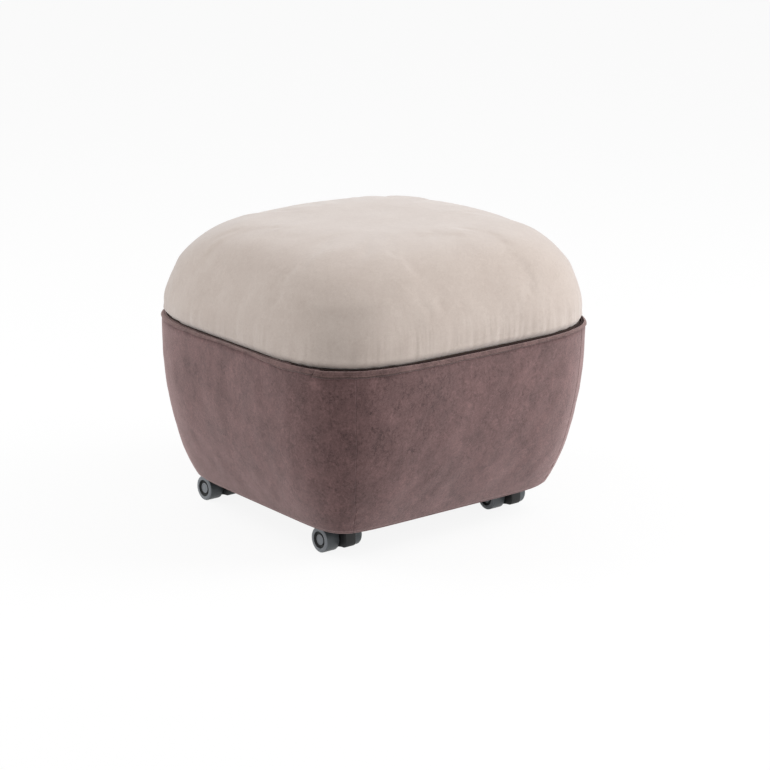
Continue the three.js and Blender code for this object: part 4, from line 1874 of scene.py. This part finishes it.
@dataclass
class Castor:
    """A twin-wheel castor: two moulded wheels, the housing between them, the stem and its socket."""

    corner: Corner
    rubber: bpy.types.Material
    face: bpy.types.Material
    recessed: bpy.types.Material
    moulding: bpy.types.Material
    metal: bpy.types.Material
    rim: float = 6.0 * MM
    recess: float = 3.6 * MM
    slope: float = 0.8 * MM
    hub_radius: float = 7.3 * MM
    hub_rise: float = 2.6 * MM
    tread_round: float = 1.7 * MM
    lip: Pair = (0.5 * MM, 0.25 * MM)
    dish_fall: float = 0.3 * MM
    cap_insets: Tuple[Pair, ...] = (
        (1.3 * MM, 0.25 * MM),
        (0.5 * MM, -0.7 * MM),
        (2.0 * MM, 0.3 * MM),
    )
    bore_insets: Tuple[Pair, ...] = ((2.9 * MM, 0.0), (0.2 * MM, -8.0 * MM))
    wheel_edge: float = 0.35 * MM
    housing_foot: float = 7.3 * MM
    housing_sweep: float = 1.0 * MM
    housing_edge: float = 1.6 * MM
    steel_edge: float = 0.15 * MM
    turns: int = 48
    bend_points: int = 8
    sweep_points: int = 10
    round_points: int = 25
    facing: float = 0.6
    shade_and_dirt_foot: float = 0.16 * MM
    shade_and_dirt_rim: float = 0.2 * MM
    sides: int = 72

    def build(self) -> None:
        """Makes and dresses the castor's pieces."""
        word = self.corner.word
        for hand, way in (("left", -1), ("right", 1)):
            wheel = self.wheel(hand, way)
            dress(wheel, self.rubber, f"{word}_{hand}_wheel")
            self.tone(wheel, way)
            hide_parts(f"{hand}_wheel_{word}")
        swivel = f"{word}_castor"
        housing = self.housing()
        dress(housing, self.moulding, swivel)
        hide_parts(f"castor_housing_{word}")
        for part, body in (("stem", swivel), ("axle", swivel), ("socket", ROOT)):
            piece = self.turned(part)
            dress(piece, self.metal, body)
            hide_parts(f"castor_{part}_{word}")

    def wheel(self, hand: str, way: int) -> bpy.types.Object:
        """A wheel with a raised rim, a round recess and a hub, turned so that its rim faces out.

        Args:
            hand: left or right.
            way: -1 where its outer face looks left, 1 where it looks right.

        Returns:
            The wheel.
        """
        low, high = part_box(f"{hand}_wheel_{self.corner.word}")
        axle = centre_of(f"castor_axle_{self.corner.word}")
        width = high.x - low.x
        radius = axle.z
        select_only()
        bpy.ops.mesh.primitive_cylinder_add(vertices=self.sides, radius=radius, depth=width)
        wheel = named(f"wheel_{self.corner.word}_{hand}")
        self.edge_round(wheel)
        face = self.rim - self.tread_round
        dish = radius - self.rim - self.slope * 2 - self.hub_radius
        outer = [self.lip, (face - self.lip[0], 0.0), (self.slope, -self.recess)]
        outer += [(dish, -self.dish_fall), (self.slope, self.hub_rise), *self.cap_insets]
        self.carve(wheel, 1, outer)
        inner = [(face, 0.0), (self.slope, -self.recess), (dish, 0.0), (self.slope, self.recess)]
        self.carve(wheel, -1, inner + list(self.bore_insets))
        round_edges(wheel, self.wheel_edge, 3)
        smooth(wheel, 40)
        wheel.rotation_euler = (0, way * math.pi / 2, 0)
        wheel.location = ((low.x + high.x) / 2, axle.y, axle.z)
        settle(wheel)
        return wheel

    @staticmethod
    def carve(wheel: bpy.types.Object, way: int, steps: List[Pair]) -> None:
        """Insets one flat face of a wheel again and again.

        Args:
            wheel: The wheel, with its axis along Z.
            way: 1 for the upper face, -1 for the lower one.
            steps: The width and the depth of each inset.
        """
        pick_faces(wheel, lambda face: face.normal.z * way > FLAT and len(face.vertices) > 4)
        for thickness, depth in steps:
            bpy.ops.mesh.inset(thickness=thickness, depth=depth)
        bpy.ops.object.mode_set(mode="OBJECT")

    def tone(self, wheel: bpy.types.Object, way: int) -> None:
        """Gives the wheel's worn rim and hub the lighter tone, and its recess and its inner face the dark
        one, which is dirt and painted shade.

        Args:
            wheel: The dressed wheel, in its place.
            way: -1 where its outer face looks left, 1 where it looks right.
        """
        wheel.data.materials.append(self.face)
        wheel.data.materials.append(self.recessed)
        points = coordinates(wheel)
        middle = (points.min(axis=0) + points.max(axis=0)) / 2
        inner = middle[2] - self.rim
        for face in wheel.data.polygons:
            radius = math.hypot(face.center.y - middle[1], face.center.z - middle[2])
            if face.normal.x * way > self.facing or radius < inner:
                # The recess and the inner face take the dark plastic: dirt and painted shade.
                sunk = self.hub_radius + self.shade_and_dirt_foot < radius < inner + self.shade_and_dirt_rim
                face.material_index = 2 if sunk or face.normal.x * way < -self.facing else 1

    def edge_round(self, wheel: bpy.types.Object) -> None:
        """Rounds the two edges of the tread.

        Args:
            wheel: The plain barrel.
        """
        pick_faces(wheel, lambda face: abs(face.normal.z) > FLAT)
        bpy.ops.mesh.select_mode(type="EDGE")
        bpy.ops.mesh.region_to_loop()
        bpy.ops.mesh.bevel(offset=self.tread_round, segments=5, profile=0.5)
        bpy.ops.object.mode_set(mode="OBJECT")

    def housing(self) -> bpy.types.Object:
        """The dark moulding between the wheels, which sweeps up from the axle to the stem.

        Returns:
            The housing.
        """
        word = self.corner.word
        low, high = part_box(f"castor_housing_{word}")
        axle = centre_of(f"castor_axle_{word}")
        stem = centre_of(f"castor_stem_{word}")
        radius = axle.z - low.z
        boss = stem.y - low.y
        foot = low.z + self.housing_foot
        corner = [(stem.y - boss, high.z), (stem.y - boss, foot + boss)]
        heel, under = (stem.y - boss, foot), (stem.y, foot)
        corner += self.curve(corner[-1], heel, under, self.bend_points)
        sweep = ((stem.y + axle.y) / 2, foot - self.housing_sweep)
        corner += self.curve(under, sweep, (axle.y, low.z), self.sweep_points)
        for angle in np.linspace(-math.pi / 2, math.pi / 2, self.round_points)[1:]:
            corner.append((axle.y + radius * math.cos(angle), axle.z + radius * math.sin(angle)))
        top = (axle.y, axle.z + radius)
        nape = (stem.y + boss, axle.z + radius)
        corner += self.curve(top, nape, (stem.y + boss, high.z), self.bend_points)
        piece = laid_outline(f"housing_{word}", [(low.x, y, z) for y, z in corner], "NGON")
        thick = high.x - low.x
        pick_faces(piece, lambda face: True)
        bpy.ops.mesh.extrude_region_move(TRANSFORM_OT_translate={"value": (thick, 0, 0)})
        bpy.ops.object.mode_set(mode="OBJECT")
        face_out(piece)
        round_edges(piece, self.housing_edge, 4, 50.0)
        smooth(piece, 40)
        return piece

    @staticmethod
    def curve(
        start: Pair, pull: Pair, end: Pair, steps: int
    ) -> List[Pair]:
        """Points on a curve with one handle, after its first.

        Args:
            start: Where it starts.
            pull: The handle.
            end: Where it ends.
            steps: How many points.

        Returns:
            The points.
        """
        made = []
        for share in np.linspace(0, 1, steps + 1)[1:]:
            back = 1 - share
            weights = (back * back, 2 * back * share, share * share)
            made.append(tuple(float(np.dot(weights, places)) for places in zip(start, pull, end)))
        return made

    def turned(self, part: str) -> bpy.types.Object:
        """A smooth copy of a turned steel part, spun from the outline of the frame's own.

        Args:
            part: stem, axle or socket.

        Returns:
            The part.
        """
        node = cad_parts[f"castor_{part}_{self.corner.word}"]
        centre = centre_of(node.name)
        points = np.array([vertex.co for vertex in node.data.vertices]) - np.array(centre)
        if part == "axle":
            points = points[:, [1, 2, 0]]
        radii = np.round(np.hypot(points[:, 0], points[:, 1]), 6)
        levels = np.round(points[:, 2], 6)
        profile = self.profile(radii, levels, part == "socket")
        outline = [(radius, 0.0, level) for radius, level in profile]
        piece = laid_outline(f"{part}_{self.corner.word}", outline, "NOTHING")
        select_only(piece)
        bpy.ops.object.mode_set(mode="EDIT")
        bpy.ops.mesh.select_all(action="SELECT")
        bpy.ops.mesh.spin(steps=self.turns, angle=2 * math.pi, center=(0, 0, 0), axis=(0, 0, 1))
        bpy.ops.mesh.select_all(action="SELECT")
        bpy.ops.mesh.remove_doubles(threshold=WELD)
        bpy.ops.mesh.delete_loose()
        bpy.ops.object.mode_set(mode="OBJECT")
        face_out(piece)
        round_edges(piece, self.steel_edge, 2)
        if part == "axle":
            piece.rotation_euler = (0, math.pi / 2, 0)
        piece.location = centre
        settle(piece)
        smooth(piece, 40)
        return piece

    @staticmethod
    def profile(radii: np.ndarray, levels: np.ndarray, hollow: bool) -> List[Pair]:
        """The half outline of a turned part, from its vertices.

        Args:
            radii: Each vertex's distance from the axis.
            levels: Its place along the axis.
            hollow: Whether it has a bore.

        Returns:
            Radius and level pairs, in order round the outline.
        """
        outer: Dict[float, List[float]] = {}
        for radius, level in zip(radii, levels):
            outer.setdefault(float(level), []).append(float(radius))
        steps = []
        for level in sorted(outer):
            found = sorted(set(outer[level]))
            keep = found[1:] if hollow else found[1:] if found[0] == 0 else found
            steps.append((level, keep or found))
        made: List[Pair] = []
        for level, found in steps:
            nearer = made and abs(found[-1] - made[-1][0]) < abs(found[0] - made[-1][0])
            made += [(radius, level) for radius in (reversed(found) if nearer else found)]
        bore = min(radii) if hollow else 0.0
        return [(bore, steps[0][0])] + made + [(bore, steps[-1][0])]


@dataclass
class Carcase:
    """The hidden frame, filling and webbing, which keep the frame's own shapes."""

    ply: Timber
    lumber: Timber
    board: Timber
    wadding: Plain
    webbing: Plain

    def build(self) -> None:
        """Gives each of the frame's hidden nodes its finish."""
        finishes = {
            "base_board": self.ply.material(),
            "corner_post": self.lumber.material(),
            "hardboard": self.board.material(),
            "side_padding": self.wadding.material(),
            "strap": self.webbing.material(),
        }
        finishes["top_rail"] = finishes["base_board"]
        finishes["side_rib"] = finishes["base_board"]
        for name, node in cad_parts.items():
            for start, material in finishes.items():
                if name.startswith(start):
                    node.data.materials.clear()
                    node.data.materials.append(material)


@dataclass
class Studio:
    """The pale floor, the soft lamps and the photograph's camera."""

    azimuth: float = -39.14
    elevation: float = 16.29
    roll: float = 0.87
    distance: float = 3.5
    lens: float = 116.6
    sensor: float = 36.0
    aim_across: float = 17.55 * MM
    aim_height: float = 177.53 * MM
    world: float = 0.52
    floor_width: float = 24.0
    floor_paper: float = 0.8
    floor_glow: float = 1.04
    floor_share: float = 0.86
    lamp_width: float = 1.4
    lamp_aim: float = 0.2
    lamps: Tuple[Tuple[str, Triple, float], ...] = (
        ("low_right_lamp", (1.86, -1.51, 1.1), 26.5),
        ("low_left_lamp", (-1.86, 1.51, 1.1), 10),
        ("high_right_lamp", (1.32, -1.07, 2.1), 19.5),
        ("high_left_lamp", (-1.32, 1.07, 2.1), 14),
    )

    def build(self) -> None:
        """Sets the floor, the world, the lamps and the camera."""
        self.camera()
        self.floor()
        self.sky()
        for name, place, power in self.lamps:
            self.lamp(name, place, power)
        bpy.context.scene.view_settings.view_transform = "Standard"

    def camera(self) -> None:
        """Places the camera at the photograph's angle, tilt and framing."""
        turn, lift, roll = (math.radians(x) for x in (self.azimuth, self.elevation, self.roll))
        back = Vector((math.sin(turn) * math.cos(lift), -math.cos(turn) * math.cos(lift), math.sin(lift)))
        level = Vector((math.cos(turn), math.sin(turn), 0.0))
        plumb = back.cross(level)
        right = level * math.cos(roll) + plumb * math.sin(roll)
        up = plumb * math.cos(roll) - level * math.sin(roll)
        aim = right * self.aim_across + Vector((0, 0, self.aim_height))
        data = bpy.data.cameras.new("photo_camera")
        data.lens = self.lens
        data.sensor_width = self.sensor
        camera = bpy.data.objects.new("photo_camera", data)
        bpy.context.scene.collection.objects.link(camera)
        turned = Matrix((right, up, back)).transposed().to_4x4()
        camera.matrix_world = Matrix.Translation(aim + back * self.distance) @ turned
        bpy.context.scene.camera = camera

    def lamp(self, name: str, place: Triple, power: float) -> None:
        """Adds a square soft lamp that looks at the seat.

        Args:
            name: Its name.
            place: Where it hangs.
            power: Its power, in watts.
        """
        data = bpy.data.lights.new(name, "AREA")
        data.shape = "SQUARE"
        data.size = self.lamp_width
        data.energy = power
        lamp = bpy.data.objects.new(name, data)
        lamp.location = place
        lamp.rotation_mode = "QUATERNION"
        way = Vector((0, 0, self.lamp_aim)) - Vector(place)
        lamp.rotation_quaternion = way.to_track_quat("-Z", "Y")
        bpy.context.scene.collection.objects.link(lamp)

    def sky(self) -> None:
        """Lights the scene evenly, and shows white behind the object."""
        world = bpy.data.worlds.new("studio")
        bpy.context.scene.world = world
        world.use_nodes = True
        tree = world.node_tree
        tree.nodes.clear()
        output = tree.nodes.new("ShaderNodeOutputWorld")
        background = tree.nodes.new("ShaderNodeBackground")
        seen = self.seen(tree)
        plug(tree, background.inputs["Color"], (1.0, 1.0, 1.0, 1.0))
        plug(tree, background.inputs["Strength"], self.world + seen * (1.0 - self.world))
        tree.links.new(background.outputs[0], output.inputs["Surface"])

    @staticmethod
    def seen(tree: bpy.types.NodeTree) -> Wire:
        """1 where the camera, a reflection or a clear material looks, and 0 for plain light."""
        path = tree.nodes.new("ShaderNodeLightPath")
        camera, glossy, clear = (
            Wire(tree, path.outputs[name])
            for name in ("Is Camera Ray", "Is Glossy Ray", "Is Transmission Ray")
        )
        return (camera + glossy + clear).clamped()

    def floor(self) -> None:
        """A wide pale floor that shows near white and keeps a soft shadow."""
        select_only()
        bpy.ops.mesh.primitive_plane_add(size=self.floor_width)
        floor = named("floor")
        material = bpy.data.materials.new("floor")
        material.use_nodes = True
        tree = material.node_tree
        tree.nodes.clear()
        output = tree.nodes.new("ShaderNodeOutputMaterial")
        paper = tree.nodes.new("ShaderNodeBsdfDiffuse")
        plug(tree, paper.inputs["Color"], (self.floor_paper,) * 3 + (1.0,))
        glow = tree.nodes.new("ShaderNodeEmission")
        plug(tree, glow.inputs["Color"], (1.0, 1.0, 1.0, 1.0))
        plug(tree, glow.inputs["Strength"], self.floor_glow)
        mix = tree.nodes.new("ShaderNodeMixShader")
        plug(tree, mix.inputs[0], self.seen(tree) * self.floor_share)
        tree.links.new(paper.outputs[0], mix.inputs[1])
        tree.links.new(glow.outputs[0], mix.inputs[2])
        tree.links.new(mix.outputs[0], output.inputs["Surface"])
        floor.data.materials.append(material)


# Colours and finishes of this ottoman
CREAM = Pile(
    name="cream_microfibre",
    deep=screen_colour(184, 168, 158),
    pale=screen_colour(214, 202, 193),
    sheen=0.6,
    sheen_roughness=0.5,
    sheen_tint=(1.0, 0.99, 1.0),
    blotch=42 * MM,
    stroke=11 * MM,
    upright=0.9,
    blotch_share=0.2,
    stroke_share=0.25,
    fleck_share=0.25,
    nap_height=0.1 * MM,
    # The crevice at the cushion's foot is painted shade.
    shade=Shade(height=279.6 * MM),
    pulls=Pulls(height=0.7 * MM, foot=281.5 * MM),
)
VELVET = Pile(
    name="brown_velvet",
    deep=screen_colour(36, 22, 22),
    pale=screen_colour(130, 99, 98),
    sheen=0.72,
    sheen_roughness=0.55,
    sheen_tint=(1.0, 0.76, 0.75),
)
BAND_VELVET = Pile(
    name="band_velvet",
    deep=screen_colour(48, 32, 31),
    pale=screen_colour(136, 107, 104),
    sheen=0.65,
    sheen_roughness=0.55,
    sheen_tint=(1.0, 0.8, 0.78),
    blotch=24 * MM,
    stroke=6 * MM,
    fleck=2.4 * MM,
    # The channel behind the lip is painted shade, and the hem is a painted shadow line along the band's
    # lower edge.
    shade=Shade(fold=(13.4 * MM, 21.85 * MM), hem=4.9 * MM),
)
# Dark copies of the cloths without sheen: painted shade for the skirt and for the band's channel.
SHADED_CREAM = replace(
    CREAM,
    name="painted_shade_microfibre",
    deep=screen_colour(52, 38, 34),
    pale=screen_colour(84, 68, 62),
    sheen=0.05,
    shade=Shade(),
    pulls=Pulls(),
)
SHADED_VELVET = replace(
    VELVET,
    name="painted_shade_velvet",
    deep=screen_colour(30, 20, 19),
    pale=screen_colour(62, 46, 44),
    sheen=0.05,
)
GREY_PLASTIC = Moulded(
    name="grey_wheel_plastic",
    colour=screen_colour(92, 97, 100),
    worn=screen_colour(136, 140, 142),
    roughness=0.42,
)
WORN_PLASTIC = Moulded(
    name="worn_wheel_plastic",
    colour=screen_colour(128, 132, 137),
    worn=screen_colour(164, 166, 168),
    roughness=0.36,
)
# Dirt and painted shade for the wheels' recesses and inner faces.
SHADE_AND_DIRT_PLASTIC = Moulded(
    name="shade_and_dirt_wheel_plastic",
    colour=screen_colour(52, 54, 55),
    worn=screen_colour(98, 96, 93),
    roughness=0.6,
)
BLACK_PLASTIC = Moulded(
    name="black_housing_plastic",
    colour=screen_colour(30, 31, 32),
    worn=screen_colour(84, 84, 84),
    roughness=0.48,
)
ZINC = Plated("bright_zinc", colour=screen_colour(196, 198, 200), dull=screen_colour(150, 150, 148))
DUST_CLOTH = Plain(
    name="black_dust_cloth",
    dark=screen_colour(14, 14, 15),
    light=screen_colour(44, 44, 46),
    thread=1.4 * MM,
    weave=0.5,
    fuzz=1.1 * MM,
    depth=0.08 * MM,
)
PLY = Timber(
    name="birch_ply",
    early=screen_colour(214, 184, 140),
    late=screen_colour(176, 138, 92),
    along=(0.12, 1.0, 1.0),
    ring=7 * MM,
)
LUMBER = Timber(
    name="sawn_softwood",
    early=screen_colour(218, 180, 128),
    late=screen_colour(178, 128, 76),
    along=(1.0, 1.0, 0.1),
    ring=5 * MM,
)
BOARD = Timber(
    name="brown_hardboard",
    early=screen_colour(134, 96, 64),
    late=screen_colour(104, 70, 44),
    along=(1.0, 1.0, 1.0),
    ring=1.6 * MM,
)
WADDING = Plain(
    name="polyester_wadding",
    dark=screen_colour(214, 214, 208),
    light=screen_colour(244, 244, 240),
    thread=6 * MM,
    weave=0.1,
    fuzz=2.5 * MM,
    depth=0.6 * MM,
)
WEBBING = Plain(
    name="elastic_webbing",
    dark=screen_colour(40, 36, 34),
    light=screen_colour(98, 90, 84),
    thread=1.8 * MM,
    weave=0.9,
    fuzz=1.2 * MM,
    depth=0.2 * MM,
)


def main() -> None:
    """Builds the ottoman's looks in order and logs each piece."""
    logging.basicConfig(level=logging.INFO, format="%(name)s: %(message)s")
    form = Form.of_frame()
    SeatCushion(form, CREAM, SHADED_CREAM).build()
    VelvetBody(form, VELVET).build()
    Band(form, BAND_VELVET, SHADED_VELVET).build()
    Underside(form, DUST_CLOTH, ZINC).build()
    plastics = [finish.material() for finish in (GREY_PLASTIC, WORN_PLASTIC, SHADE_AND_DIRT_PLASTIC, BLACK_PLASTIC)]
    metal = ZINC.material()
    for corner in Corner:
        Castor(corner, *plastics, metal).build()
    Carcase(PLY, LUMBER, BOARD, WADDING, WEBBING).build()
    Studio().build()


if __name__ == "__main__":
    main()
